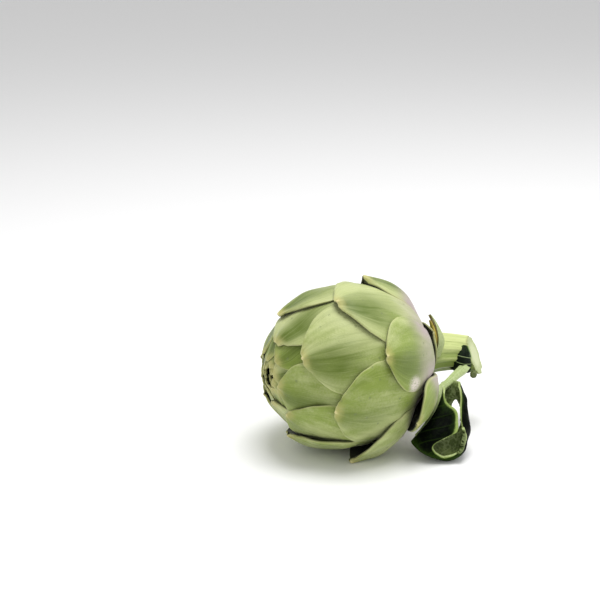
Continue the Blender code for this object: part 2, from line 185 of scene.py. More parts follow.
def grid_faces(rows: int, columns: int, first: int = 0) -> Array:
    """Number the four corners of each face of a grid of points.

    Args:
        rows: Rows of faces.
        columns: Faces in each row.
        first: The number of the grid's first point.

    Returns:
        One line of four point numbers for each face.
    """
    numbers = first + np.arange((rows + 1) * (columns + 1)).reshape(rows + 1, columns + 1)
    corners = [numbers[:-1, :-1], numbers[:-1, 1:], numbers[1:, 1:], numbers[1:, :-1]]
    return np.stack([corner.ravel() for corner in corners], 1)


def shell_faces(rows: int, columns: int) -> Array:
    """Close two grids of points, the outer one first, into one shell.

    Args:
        rows: Rows of faces of each grid.
        columns: Faces in each row.

    Returns:
        The faces of both grids and of the rim between them.
    """
    count = (rows + 1) * (columns + 1)
    numbers = np.arange(count).reshape(rows + 1, columns + 1)
    ring = np.concatenate([numbers[0, :-1], numbers[:-1, -1], numbers[-1, :0:-1], numbers[:0:-1, 0]])
    following = np.roll(ring, -1)
    rim = np.stack([following, ring, ring + count, following + count], 1)
    return np.vstack([grid_faces(rows, columns), grid_faces(rows, columns, count)[:, ::-1], rim])


def facing_out(points: Array, faces: Array) -> Array:
    """The faces of a closed shell, turned about if they enclose a negative volume."""
    a, b, c, d = (points[faces[:, k]] for k in range(4))
    volume = dot(a, np.cross(b, c)).sum() + dot(a, np.cross(c, d)).sum()
    return faces if volume > 0 else faces[:, ::-1]


@dataclass
class Patchwork:
    """Patches that go into one mesh, with named numbers at each point for the finish to read."""

    name: str
    points: list[Array] = field(default_factory=list)
    faces: list[Array] = field(default_factory=list)
    finish_numbers: list[Array] = field(default_factory=list)
    traits: dict[str, list[Array]] = field(default_factory=dict)

    def add(self, points: Array, faces: Array, traits: dict[str, Array | float],
            finish_number: int = 0) -> None:
        """Add one patch.

        Args:
            points: Its points.
            faces: Its faces, as numbers of its own points.
            traits: Named numbers, one for each point or one for all. Every patch has the same names.
            finish_number: Which of the mesh's finishes the patch has.
        """
        flat = points.reshape(-1, 3)
        start = sum(len(part) for part in self.points)
        self.points.append(flat)
        self.faces.append(faces + start)
        self.finish_numbers.append(np.full(len(faces), finish_number))
        for trait, numbers in traits.items():
            held = np.broadcast_to(np.asarray(numbers, float).ravel(), (len(flat),))
            self.traits.setdefault(trait, []).append(held)

    def build(self, finishes: Sequence[bpy.types.Material]) -> bpy.types.Object:
        """Make the object from every patch.

        Args:
            finishes: Its materials, in the order of the patches' finish numbers.

        Returns:
            The object, smooth except along crisp rims.
        """
        mesh = bpy.data.meshes.new(self.name)
        faces = np.vstack(self.faces)
        mesh.from_pydata(np.vstack(self.points).tolist(), [], faces.tolist())
        for trait, parts in self.traits.items():
            layer = mesh.attributes.new(trait, "FLOAT", "POINT")
            layer.data.foreach_set("value", np.concatenate(parts).astype(np.float32))
        for finish in finishes:
            mesh.materials.append(finish)
        mesh.polygons.foreach_set("material_index", np.concatenate(self.finish_numbers).astype(np.int32))
        mesh.validate()
        smooth(mesh)
        return placed(self.name, mesh)


def smooth(mesh: bpy.types.Mesh) -> None:
    """Smooth a mesh's faces, with crisp edges where it turns sharply."""
    mesh.shade_smooth()
    mesh.set_sharp_from_angle(angle=CRISP_ANGLE)


def placed(name: str, data: bpy.types.ID) -> bpy.types.Object:
    """Put a mesh, a lamp or a camera in the scene as an object with this name."""
    item = bpy.data.objects.new(name, data)
    bpy.context.scene.collection.objects.link(item)
    return item


def thickened(piece: bpy.types.Object, thickness: float, offset: float = -1.0) -> bpy.types.Object:
    """Give an open sheet its thickness, with the finishes of its back and its edge.

    Args:
        piece: The sheet, whose finishes are in the order of Layer.
        thickness: How thick it becomes.
        offset: -1 to grow behind its front, 1 to grow before it.

    Returns:
        The same object as a closed thin solid.
    """
    modifier = piece.modifiers.new("Thickness", "SOLIDIFY")
    modifier.thickness = thickness
    modifier.offset = offset
    modifier.material_offset = Layer.BACK.value
    modifier.material_offset_rim = Layer.EDGE.value
    modifier.use_even_offset = False
    mesh = bpy.data.meshes.new_from_object(piece.evaluated_get(bpy.context.evaluated_depsgraph_get()))
    mesh.name = piece.name
    piece.modifiers.clear()
    piece.data = mesh
    smooth(mesh)
    return piece


def welded(piece: bpy.types.Object, distance: float = 0.000002) -> bpy.types.Object:
    """Join points that lie together, and turn every face outwards.

    Args:
        piece: The object.
        distance: How close points have to lie.

    Returns:
        The same object.
    """
    bm = bmesh.new()
    bm.from_mesh(piece.data)
    bmesh.ops.remove_doubles(bm, verts=bm.verts[:], dist=distance)
    bm.normal_update()
    bmesh.ops.recalc_face_normals(bm, faces=bm.faces)
    bm.to_mesh(piece.data)
    bm.free()
    smooth(piece.data)
    return piece


def fitted(piece: bpy.types.Object, node: str) -> bpy.types.Object:
    """Fix a finished piece to the frame in the place of a solid.

    Args:
        piece: The piece, already in place.
        node: The solid that it stands for.

    Returns:
        The same piece.
    """
    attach(piece, BODY)
    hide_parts(node)
    log.info("%s: %d faces, stands for %s", piece.name, len(piece.data.polygons), node)
    return piece


# Finishes


class Wire:
    """A number on its way through a finish's nodes. Arithmetic on it adds the nodes that work it out."""

    def __init__(self, graph: "Graph", socket: bpy.types.NodeSocket) -> None:
        """Keep the socket that the number comes out of, and its graph."""
        self.graph = graph
        self.socket = socket

    def __add__(self, other: "Wire | float") -> "Wire":
        """The sum."""
        return self.graph.maths("ADD", self, other)

    def __sub__(self, other: "Wire | float") -> "Wire":
        """The difference."""
        return self.graph.maths("SUBTRACT", self, other)

    def __rsub__(self, other: "Wire | float") -> "Wire":
        """The difference, taken from a number."""
        return self.graph.maths("SUBTRACT", other, self)

    def __mul__(self, other: "Wire | float") -> "Wire":
        """The product."""
        return self.graph.maths("MULTIPLY", self, other)

    def __abs__(self) -> "Wire":
        """The size without its sign."""
        return self.graph.maths("ABSOLUTE", self, 0.0)

    __radd__ = __add__
    __rmul__ = __mul__

    def eased(self, start: float, end: float) -> "Wire":
        """Ease from 0 to 1 between two levels.

        Args:
            start: The level that gives 0.
            end: The level that gives 1; it may be the lower one.

        Returns:
            A number from 0 to 1.
        """
        settings = {"interpolation_type": "SMOOTHSTEP", "clamp": True}
        sockets = {"Value": self, "From Min": start, "From Max": end, "To Min": 0.0, "To Max": 1.0}
        return self.graph.add("ShaderNodeMapRange", settings, sockets)


class Graph:
    """The nodes of one finish."""

    def __init__(self, name: str) -> None:
        """Start a material with a Principled shader and nothing else."""
        self.material = bpy.data.materials.new(name)
        self.material.use_nodes = True
        self.tree = self.material.node_tree
        self.shader = self.tree.nodes["Principled BSDF"]

    def add(self, kind: str, settings: dict[str, object], sockets: dict[str | int, object],
            output: str | int = 0) -> Wire:
        """Add one node of any kind.

        Args:
            kind: Its type.
            settings: Its own settings, set first.
            sockets: Values or wires for its sockets, by name or number.
            output: The output that is wanted.

        Returns:
            That output.
        """
        node = self.tree.nodes.new(kind)
        for setting, value in settings.items():
            setattr(node, setting, value)
        for socket, value in sockets.items():
            self.feed(node.inputs[socket], value)
        return Wire(self, node.outputs[output])

    def feed(self, socket: bpy.types.NodeSocket, value: object) -> None:
        """Link a wire to a socket, or set a plain value on it."""
        if isinstance(value, Wire):
            self.tree.links.new(value.socket, socket)
        elif socket.type == "RGBA":
            socket.default_value = (*value, 1.0)
        else:
            socket.default_value = value

    def maths(self, operation: str, one: Wire | float, other: Wire | float) -> Wire:
        """The result of a Math node on two numbers."""
        return self.add("ShaderNodeMath", {"operation": operation}, {0: one, 1: other})

    def trait(self, name: str) -> Wire:
        """The number that the mesh holds at each point under this name."""
        return self.add("ShaderNodeAttribute", {"attribute_name": name}, {}, "Fac")

    def vector(self, x: Wire | float, y: Wire | float, z: Wire | float) -> Wire:
        """Three numbers as one vector."""
        return self.add("ShaderNodeCombineXYZ", {}, {0: x, 1: y, 2: z})

    def noise(self, place: Wire, scale: float, detail: float = 3.0, roughness: float = 0.55) -> Wire:
        """Noise from 0 to 1 about 0.5.

        Args:
            place: Where it is read.
            scale: Its waves for each unit of the place.
            detail: How many finer layers it has.
            roughness: How strong those are.

        Returns:
            The noise.
        """
        sockets = {"Vector": place, "Scale": scale, "Detail": detail, "Roughness": roughness}
        return self.add("ShaderNodeTexNoise", {}, sockets)

    def spots(self, place: Wire, scale: float) -> Wire:
        """Distance from the nearest of many scattered points."""
        return self.add("ShaderNodeTexVoronoi", {}, {"Vector": place, "Scale": scale}, "Distance")

    def mix(self, factor: Wire | float, one: Wire | Colour, other: Wire | Colour) -> Wire:
        """Mix two colours.

        Args:
            factor: 0 for the first, 1 for the other.
            one: The first colour.
            other: The other colour.

        Returns:
            The mixed colour.
        """
        settings = {"data_type": "RGBA", "blend_type": "MIX", "clamp_factor": True}
        return self.add("ShaderNodeMix", settings, {0: factor, 6: one, 7: other}, 2)

    def bump(self, height: Wire, distance: float, strength: float = 1.0) -> Wire:
        """A surface normal tilted by a height given in units of the distance."""
        return self.add("ShaderNodeBump", {}, {"Height": height, "Distance": distance, "Strength": strength})

    def finished(self, colour: Wire | Colour, roughness: Wire | float, normal: Wire | None = None,
                 **constants: object) -> bpy.types.Material:
        """Feed the shader and hand over the material.

        Args:
            colour: Base colour.
            roughness: Roughness.
            normal: Tilted normal, if there is one.
            constants: Further shader sockets with one value all over, named with _ for each space.

        Returns:
            The material.
        """
        self.feed(self.shader.inputs["Base Color"], colour)
        self.feed(self.shader.inputs["Roughness"], roughness)
        if normal is not None:
            self.feed(self.shader.inputs["Normal"], normal)
        for name, value in constants.items():
            self.feed(self.shader.inputs[name.replace("_", " ")], value)
        return self.material


@dataclass(frozen=True)
class BractFinish:
    """Matt green bracts under pale down, with fibres, dry tips, pale margins and a purple blush at the base, and
    painted light: paler tops and undersides, a painted shade band, painted highlights on the margins, near black
    painted shade inside.

    A crowding is a pattern's waves over half a bract's width and over 1 mm of its length. Each other band is the
    two levels between which something comes or goes, in mm from the tip, the middle or the margin, in degrees
    from the apex, or in the pattern's own units.
    """

    down: Colour = (0.50, 0.55, 0.24)
    green: Colour = (0.24, 0.32, 0.050)
    deep: Colour = (0.10, 0.15, 0.010)
    # The margin colour is partly a painted highlight on the rims.
    margin: Colour = (0.52, 0.53, 0.24)
    tip: Colour = (0.52, 0.46, 0.16)
    spine: Colour = (0.74, 0.66, 0.32)
    blush: Colour = (0.42, 0.35, 0.33)
    bruise: Colour = (0.16, 0.20, 0.07)
    scuff: Colour = (0.74, 0.66, 0.60)
    # Near black painted shade for the bracts' inner faces.
    inside: Colour = (0.02, 0.025, 0.008)
    lane_crowding: Band = (9.0, 0.022)
    thread_crowding: Band = (42.0, 0.05)
    thread_levels: Band = (0.02, 0.26)
    thread_strength: float = 0.22
    cloud_stretch: Band = (1.3, 0.6)
    cloud_scale: float = 0.09
    mottle_scale: float = 0.9
    dot_scale: float = 0.13
    pinprick_scale: float = 0.42
    # Where the painted shade band along each bract's middle lies, and where it comes and goes.
    shade_side: float = 0.32
    shade_width: Band = (0.05, 0.70)
    shade_start: Band = (0.5, 5.0)
    shade_end: Band = (14.0, 52.0)
    blush_polar: Band = (106.0, 136.0)
    blush_start: Band = (12.0, 28.0)
    tip_end: Band = (0.5, 6.5)
    tip_width: Band = (1.5, 7.0)
    rim_width: Band = (0.25, 1.05)
    relief: float = 0.0005

    def material(self) -> bpy.types.Material:
        """Build the finish's nodes.

        Returns:
            The material.
        """
        graph = Graph("bract_green")
        across, along, aside = graph.trait("across"), graph.trait("along"), graph.trait("aside")
        own, margin, lit = graph.trait("own"), graph.trait("margin"), graph.trait("up")
        lanes = graph.vector(across * self.lane_crowding[0], along * self.lane_crowding[1], own * 61.0)
        threads = graph.vector(across * self.thread_crowding[0], along * self.thread_crowding[1], own * 83.0)
        flat = graph.vector(aside, along, own * 97.0)
        stretched = graph.vector(aside * self.cloud_stretch[0], along * self.cloud_stretch[1], own * 97.0)
        cloud = graph.noise(stretched, self.cloud_scale, 2.0)
        lane, thread = graph.noise(lanes, 1.0, 3.0), graph.noise(threads, 1.0, 2.0, 0.6)
        mottle = graph.noise(flat, self.mottle_scale, 3.0, 0.6)

        # Painted light: the down is paler where a bract faces up, a painted highlight on the top, and paler
        # where it faces down, painted fill light underneath; the cloud and the mottle vary the down itself.
        below = (0.0 - lit).eased(0.05, 0.65)
        bloom_and_painted_light = 0.34 + below * 0.40 + lit.eased(0.35, 0.95) * 0.40 + (cloud - 0.5) * 1.5
        bloom_and_painted_light = bloom_and_painted_light + (mottle - 0.5) * 0.6 + (own - 0.5) * 0.50
        colour = graph.mix(bloom_and_painted_light.eased(0.0, 1.0), self.green, self.down)
        # Painted shade: a deep green band along each bract's middle towards its tip, on the side of negative
        # across and weaker where the bract faces down, stands for the shade below its keel; the darker lanes of
        # the fibres join it.
        middle = 1.0 - abs(across + self.shade_side).eased(*self.shade_width)
        middle = middle * (1.0 - along.eased(*self.shade_end)) * along.eased(*self.shade_start)
        shade = middle * (1.0 - below * 0.7) * (0.50 + cloud * 0.7) + (0.55 - lane).eased(0.0, 0.30) * 0.25
        colour = graph.mix(shade, colour, self.deep)
        pale_thread = (thread - 0.5).eased(*self.thread_levels)
        dark_thread = (0.5 - thread).eased(*self.thread_levels)
        colour = graph.mix(pale_thread * self.thread_strength, colour, self.down)
        colour = graph.mix(dark_thread * self.thread_strength, colour, self.deep)

        base = graph.trait("polar").eased(*self.blush_polar) * along.eased(*self.blush_start)
        blush = base * (abs(across).eased(0.15, 0.9) * 0.5 + 0.55) * (cloud + 0.45)
        colour = graph.mix(blush, colour, self.blush)

        dots = (1.0 - graph.spots(flat, self.dot_scale).eased(0.04, 0.16)) * mottle.eased(0.34, 0.54)
        colour = graph.mix(dots * 0.60, colour, self.bruise)
        pinpricks = 1.0 - graph.spots(flat, self.pinprick_scale).eased(0.06, 0.16)
        pinpricks = pinpricks * mottle.eased(0.46, 0.60)
        colour = graph.mix(pinpricks * 0.7, colour, self.bruise)

        ragged = along + (mottle - 0.5) * 4.0
        tip = (1.0 - ragged.eased(*self.tip_end)) * (1.0 - abs(aside).eased(*self.tip_width) * 0.7)
        colour = graph.mix(tip * 0.65, colour, self.tip)
        # Pale margins: the margins' own paler colour together with a painted highlight where the thin rims catch
        # light.
        rim = 1.0 - (margin + (mottle - 0.5) * 0.5).eased(*self.rim_width)
        colour = graph.mix(rim * 0.50, colour, self.margin)
        scuff = graph.trait("scuff").eased(0.15, 0.85) * mottle.eased(0.25, 0.55)
        colour = graph.mix(scuff * 0.9, colour, self.scuff)
        colour = graph.mix(graph.trait("spine").eased(0.2, 0.8) * 0.75, colour, self.spine)
        # Painted shade: the inner faces, seen in the gaps under loose tips, are painted near black.
        colour = graph.mix(graph.trait("inner") * 0.95, colour, self.inside)

        height = lane * 0.25 + thread * 0.25 + mottle * 0.40 - dots * 0.3 + scuff * 0.4
        roughness = 0.50 + (thread - 0.5) * 0.25 + tip * 0.1
        normal = graph.bump(height, self.relief, 0.75)
        return graph.finished(colour, roughness, normal, Specular_IOR_Level=0.35, Sheen_Weight=0.12,
                              Sheen_Roughness=0.45)


@dataclass(frozen=True)
class CoreShadeFinish:
    """The hollow behind the bracts, painted near black as the shade where no light comes."""

    dark: Colour = (0.007, 0.010, 0.003)
    darker: Colour = (0.003, 0.004, 0.001)

    def material(self) -> bpy.types.Material:
        """Build the finish's nodes.

        Returns:
            The material.
        """
        graph = Graph("core_shadow")
        place = graph.vector(graph.trait("aside"), graph.trait("along"), 0.0)
        mottle = graph.noise(place, 0.2)
        return graph.finished(graph.mix(mottle, self.dark, self.darker), 0.8 + mottle * 0.1)


@dataclass(frozen=True)
class StemFinish:
    """Pale ribbed stem skin, greener in the grooves and towards the cut, paler on top as painted light and
    darker underneath as painted shade.
    """

    rib: Colour = (0.58, 0.64, 0.26)
    groove: Colour = (0.24, 0.33, 0.06)
    # Painted shade for the underside.
    under: Colour = (0.15, 0.20, 0.03)
    scar: Colour = (0.20, 0.17, 0.07)

    def material(self) -> bpy.types.Material:
        """Build the finish's nodes.

        Returns:
            The material.
        """
        graph = Graph("stem_green")
        turn, along, rib = graph.trait("turn"), graph.trait("along"), graph.trait("rib")
        lanes = graph.vector(turn * 9.0, along * 0.05, 3.0)
        threads = graph.vector(turn * 34.0, along * 0.12, 7.0)
        flat = graph.vector(turn * 11.0, along, 0.0)
        lane, thread = graph.noise(lanes, 1.0), graph.noise(threads, 1.0, 2.0, 0.6)
        mottle = graph.noise(flat, 0.5, 3.0)
        # Painted light: the skin is paler where it faces up.
        paleness = rib * 0.30 + lane * 0.35 + (thread - 0.5) * 0.6 + graph.trait("up") * 0.45
        colour = graph.mix(paleness.eased(0.05, 0.85), self.groove, self.rib)
        # Painted shade: the underside is darkened.
        colour = graph.mix(graph.trait("up").eased(0.1, -0.8) * 0.75, colour, self.under)
        worn = (1.0 - graph.spots(flat, 0.22).eased(0.04, 0.14)) * mottle.eased(0.5, 0.65)
        colour = graph.mix(worn * 0.6, colour, self.scar)
        colour = graph.mix(graph.trait("lip") * 0.5, colour, self.scar)
        height = lane * 0.5 + thread * 0.4 + mottle * 0.2 - worn * 0.3
        return graph.finished(colour, 0.42 + (thread - 0.5) * 0.2, graph.bump(height, 0.0005, 0.8),
                              Specular_IOR_Level=0.4, Sheen_Weight=0.06)


@dataclass(frozen=True)
class CutFinish:
    """The knife cut across the stem: pale pith in a greener ring of bundles, this share of the way out."""

    pith: Colour = (0.56, 0.61, 0.34)
    ring: Colour = (0.42, 0.48, 0.21)
    bundle: Colour = (0.28, 0.33, 0.11)
    rim: Colour = (0.18, 0.24, 0.06)
    bundle_ring: float = 0.72

    def material(self) -> bpy.types.Material:
        """Build the finish's nodes.

        Returns:
            The material.
        """
        graph = Graph("cut_pith")
        ring, turn = graph.trait("rib"), graph.trait("turn")
        place = graph.vector(graph.trait("along"), graph.trait("aside"), 0.0)
        grain = graph.noise(place, 1.4, 3.0)
        colour = graph.mix((ring + (grain - 0.5) * 0.25).eased(0.45, 0.85), self.pith, self.ring)
        near_ring = 1.0 - abs(ring - self.bundle_ring).eased(0.05, 0.20)
        bundles = (1.0 - graph.spots(place, 0.62).eased(0.10, 0.30)) * near_ring
        colour = graph.mix(bundles * 0.7, colour, self.bundle)
        colour = graph.mix((ring + (grain - 0.5) * 0.06).eased(0.90, 0.99) * 0.8, colour, self.rim)
        scratches = graph.noise(graph.vector(turn * 3.0, ring * 9.0, 0.0), 1.0)
        height = grain * 0.6 - bundles * 0.5 + scratches * 0.2
        return graph.finished(colour, 0.5 + (grain - 0.5) * 0.3, graph.bump(height, 0.0004, 0.7),
                              Specular_IOR_Level=0.4)


@dataclass(frozen=True)
class LeafFinish:
    """One side of the stem leaf: its blade's colours, its veins, its rim in mm and its gloss."""

    name: str
    blade: Colour
    fresh: Colour
    vein: Colour
    rim: Colour
    vein_strength: float
    roughness: float
    gloss: float = 0.10
    net_strength: float = 0.22
    rim_width: Band = (0.35, 1.10)

    def material(self) -> bpy.types.Material:
        """Build the finish's nodes.

        Returns:
            The material.
        """
        graph = Graph(self.name)
        place = graph.vector(graph.trait("aside"), graph.trait("along"), 0.0)
        broad, crinkle = graph.noise(place, 0.16, 2.0), graph.noise(place, 1.1, 4.0, 0.6)
        net, vein = graph.spots(place, 0.55), graph.trait("vein")
        fresh = graph.trait("fresh") + (broad - 0.5) * 0.7 + (crinkle - 0.5) * 0.3
        colour = graph.mix(fresh.eased(0.1, 0.95), self.blade, self.fresh)
        colour = graph.mix(vein.eased(0.35, 0.95) * self.vein_strength, colour, self.vein)
        colour = graph.mix(net.eased(0.45, 0.75) * self.net_strength, colour, self.vein)
        rim = 1.0 - (graph.trait("margin") + (crinkle - 0.5) * 0.6).eased(*self.rim_width)
        colour = graph.mix(rim * 0.85, colour, self.rim)
        height = vein * 0.8 + crinkle * 0.7 - net * 0.3
        roughness = self.roughness + (crinkle - 0.5) * 0.25 + vein * 0.08
        normal = graph.bump(height, 0.0005, 0.9)
        return graph.finished(colour, roughness, normal, Specular_IOR_Level=self.gloss)


@dataclass(frozen=True)
class EdgeFinish:
    """The thin pale edge of a leaf, or another small part with one mottled colour."""

    name: str
    pale: Colour
    dull: Colour
    roughness: float = 0.5

    def material(self) -> bpy.types.Material:
        """Build the finish's nodes.

        Returns:
            The material.
        """
        graph = Graph(self.name)
        place = graph.vector(graph.trait("aside"), graph.trait("along"), 0.0)
        mottle = graph.noise(place, 0.7, 3.0)
        threads = graph.noise(graph.vector(graph.trait("aside") * 4.0, graph.trait("along") * 0.3, 0.0), 1.0)
        colour = graph.mix((mottle * 0.6 + threads * 0.6).eased(0.3, 0.9), self.dull, self.pale)
        return graph.finished(colour, self.roughness + (mottle - 0.5) * 0.2,
                              graph.bump(threads * 0.5 + mottle * 0.5, 0.0003, 0.8), Specular_IOR_Level=0.4)


# The head


@dataclass(frozen=True)
class HeadForm:
    """The round outer form of the head, drawn out at both ends and flatter in one dent of its base."""

    radius: float = 0.0485
    centre: Point = (-0.0010, 0.0138, 0.0476)
    apex_rise: float = math.radians(1.5)
    apex_draw: float = 0.03
    base_swell: float = 0.07
    dent_towards: Point = (0.6617, -0.6216, -0.4190)
    dent_depth: float = 0.0040
    dent_width: float = 0.32

    @property
    def middle(self) -> Array:
        """The head's centre."""
        return np.array(self.centre)

    @property
    def apex(self) -> Array:
        """Unit vector towards the apex."""
        return np.array([-math.cos(self.apex_rise), 0.0, math.sin(self.apex_rise)])

    @property
    def crown(self) -> Array:
        """Unit vector to longitude 0, the top of the head."""
        return np.array([math.sin(self.apex_rise), 0.0, math.cos(self.apex_rise)])

    @property
    def far_side(self) -> Array:
        """Unit vector to longitude 90 degrees."""
        return np.cross(self.apex, self.crown)

    def direction(self, polar: Array, longitude: Array | float) -> Array:
        """Point from the centre at an angle from the apex and round the axis.

        Args:
            polar: The angle from the apex.
            longitude: The angle round the axis.

        Returns:
            Unit vectors.
        """
        polar, longitude = np.broadcast_arrays(polar, longitude)
        ring = self.crown * np.cos(longitude)[..., None] + self.far_side * np.sin(longitude)[..., None]
        return self.apex * np.cos(polar)[..., None] + ring * np.sin(polar)[..., None]

    def envelope(self, direction: Array) -> Array:
        """Distance from the centre to the outer form in these directions."""
        towards = direction @ self.apex
        ends = self.apex_draw * np.maximum(0, towards) ** 2 + self.base_swell * np.maximum(0, -towards) ** 2
        off_dent = np.arccos(np.clip(direction @ np.array(self.dent_towards), -1, 1))
        return self.radius * (1 + ends) - self.dent_depth * bell(off_dent, self.dent_width)


@dataclass(frozen=True)
class BractCut:
    """The shape that all bracts share. A share is one of half the bract's greatest width."""

    full_half_width: float = 0.0295
    length: float = 0.062
    row_crowding: float = 1.6
    column_crowding: float = 1.25
    widest_share: float = 1.08
    dome_power: float = 2.7
    root_narrowing: float = 0.45
    tip_zone_share: float = 0.30
    notch_share: float = 0.045
    notch_width: float = 0.25
    shoulder_share: float = 0.055
    rise: float = 0.0013
    base_press: float = 0.0011
    sink: float = 0.0042
    sink_length: float = 0.028
    lobe_bulge: float = 0.0004
    lobe_place: float = 0.5
    lobe_width: float = 0.3
    lobe_length_share: float = 0.35
    bulge_place: float = 0.024
    bulge_reach: float = 0.014
    flare_power: float = 2.6
    tight_free: float = 0.008
    stem_margin: float = 0.012
    edge_thick: float = 0.0010
    flesh_thick: float = 0.0017
    flesh_margin: float = 0.006
    root_thick: float = 0.0030
    root_start: float = 0.020
    root_ease: float = 0.030
    edge_roll: float = 0.0007
    edge_roll_reach: float = 0.0011
    keel: float = 0.0015
    keel_width: float = 0.20
    keel_place: float = 0.003
    keel_length: float = 0.020
    spine_height: float = 0.0005
    spine_reach: float = 0.0008
    spine_width: float = 0.0009
    spine_length: float = 0.0016
    ragged: float = 0.00035
    ragged_wave: float = 0.006
    waver: float = 0.012
    waver_wave: float = 0.012
    swell: float = 0.00040
    swell_waves: Band = (0.014, 0.020)
    pleat: float = 0.00008
    pleat_crowding: float = 2.6
    pleat_wave: float = 0.060
    least_inner_height: float = 0.0006


@dataclass(frozen=True)
class Stance:
    """How one bract stands out of the spiral.

    Turn and down are degrees round the axis and away from the apex. The tip stands off by flare, over the
    length free. Broad widens the bract, and tip is its width there as a share. Cup presses its margins back on
    the head, bulge lifts its middle, and lean turns its root aside. An even cup presses the tip's corners too.
    """

    turn: float
    down: float
    flare: float
    free: float
    broad: float = 1.0
    tip: float = 0.20
    cup: float = 0.0
    bulge: float = 0.0
    lean: float = 0.0
    even: bool = False


@dataclass(frozen=True)
class Bract:
    """One bract of the head, placed by its tip."""

    form: HeadForm
    cut: BractCut
    index: int
    polar: float
    longitude: float
    half_width: float
    length: float
    rise: float
    stance: Stance

    @property
    def size(self) -> float:
        """How much of the full relief the bract has: small bracts have less."""
        return min(1.0, self.half_width / self.cut.full_half_width)

    def half_width_at(self, along: Array) -> Array:
        """Half the width at these distances from the tip."""
        full, cut = self.half_width, self.cut
        widest = cut.widest_share * full
        dome = np.maximum(0.0, 1 - along / widest)
        near_tip = full * (self.stance.tip + (1 - self.stance.tip) * (1 - dome**cut.dome_power))
        beyond = (along - widest) / max(self.length - widest, 0.001)
        return np.where(along < widest, near_tip, full * (1 - cut.root_narrowing * smooth_step(beyond)))

    def wave(self, number: int, *coordinates: Array, waves: int = 6) -> Array:
        """One of the bract's own ripples."""
        return ripple(self.index * 7 + 900 + number, *coordinates, waves=waves)

    def arc_at(self, across: Array, along: Array, aside: Array, spine: Array) -> Array:
        """Distances from the tip once its notch, its rounded shoulders and its spine are cut.

        Args:
            across: From -1 to 1 across the bract.
            along: Distance from the tip before the cut.
            aside: Distance from its middle line.
            spine: How much of the spine is here, from 0 to 1.

        Returns:
            The distances, below 0 on the spine.
        """
        cut, full = self.cut, self.half_width
        fade = np.maximum(0.0, 1 - along / (cut.tip_zone_share * full))
        notch = cut.notch_share * full * bell(across, cut.notch_width)
        shoulder = cut.shoulder_share * full * np.abs(across) ** 3
        uneven = cut.ragged * self.wave(0, aside / cut.ragged_wave, waves=4) * fade
        return along + (notch + shoulder + uneven) * fade - cut.spine_reach * spine

    def height_at(self, across: Array, arc: Array, aside: Array, margin: Array, spine: Array) -> Array:
        """How high the outer face stands over the head's form.

        Args:
            across: From -1 to 1 across the bract.
            arc: Distance from the tip.
            aside: Distance from its middle line.
            margin: Distance from its nearest margin.
            spine: How much of the spine is here, from 0 to 1.

        Returns:
            The heights.
        """
        cut, full, stance = self.cut, self.half_width, self.stance
        lobes = bell(np.abs(across) - cut.lobe_place, cut.lobe_width)
        lobes = lobes * bell(arc, cut.lobe_length_share * full)
        height = self.rise - cut.sink * (1 - np.exp(-arc / cut.sink_length)) + cut.lobe_bulge * lobes
        loose = 1 - np.minimum(1.0, np.maximum(arc, 0) / stance.free) ** cut.flare_power
        pressed = 1 - stance.cup * (across if stance.even else aside / full) ** 2
        bulge = stance.bulge * bell(arc - cut.bulge_place, cut.bulge_reach)
        height = height + pressed * (stance.flare * loose + bulge)
        height = height - self.size * cut.edge_roll * np.exp(-margin / cut.edge_roll_reach)
        ridge = bell(across, cut.keel_width) * bell(arc - cut.keel_place, cut.keel_length)
        height = height + self.size * cut.keel * ridge + cut.spine_height * spine
        swell = self.wave(2, aside / cut.swell_waves[0], arc / cut.swell_waves[1])
        pleats = self.wave(3, across * cut.pleat_crowding, arc / cut.pleat_wave)
        return height + self.size * (cut.swell * swell + cut.pleat * pleats)

    def skins(self, across: Array, row: Array) -> tuple[Array, Array, dict[str, Array]]:
        """Lay out the outer and the inner face.

        Args:
            across: From -1 to 1 across the bract.
            row: From 0 at the tip to 1 at the root.

        Returns:
            The points of the outer face, those of the inner one, and the traits that the finish reads.
        """
        form, cut = self.form, self.cut
        along = self.length * row**cut.row_crowding
        aside = across * self.half_width_at(along)
        spine = self.size * bell(aside, cut.spine_width) * bell(along, cut.spine_length)
        arc = self.arc_at(across, along, aside, spine)
        wavy = 1 + cut.waver * self.wave(1, along / cut.waver_wave, np.sign(across) * 3.7, waves=4)
        sideways = (aside * wavy + self.stance.lean * arc) / form.radius
        middle = form.direction(self.polar + arc / form.radius, self.longitude)
        turn = form.far_side * math.cos(self.longitude) - form.crown * math.sin(self.longitude)
        direction = middle * np.cos(sideways)[..., None] + turn * np.sin(sideways)[..., None]

        margin = np.minimum((1 - np.abs(across)) * self.half_width_at(along), along)
        flesh = smooth_step(margin / cut.flesh_margin)
        root = smooth_step((along - cut.root_start) / cut.root_ease)
        thick = cut.edge_thick + (cut.flesh_thick - cut.edge_thick) * flesh
        thick = thick + (cut.root_thick - cut.flesh_thick) * root
        distance = form.envelope(direction) + self.height_at(across, arc, aside, margin, spine)
        outer = form.middle + direction * distance[..., None]
        inner = form.middle + direction * (distance - thick)[..., None]
        outer[..., 2] = np.maximum(outer[..., 2], 0.0)
        inner[..., 2] = np.maximum(inner[..., 2], cut.least_inner_height)
        traits = {
            "across": across,
            "along": np.maximum(arc, 0) * MILLI,
            "aside": aside * MILLI,
            "margin": margin * MILLI,
            "spine": spine,
            "polar": np.degrees(np.arccos(np.clip(direction @ form.apex, -1, 1))),
            "up": direction[..., 2],
        }
        return outer, inner, traits


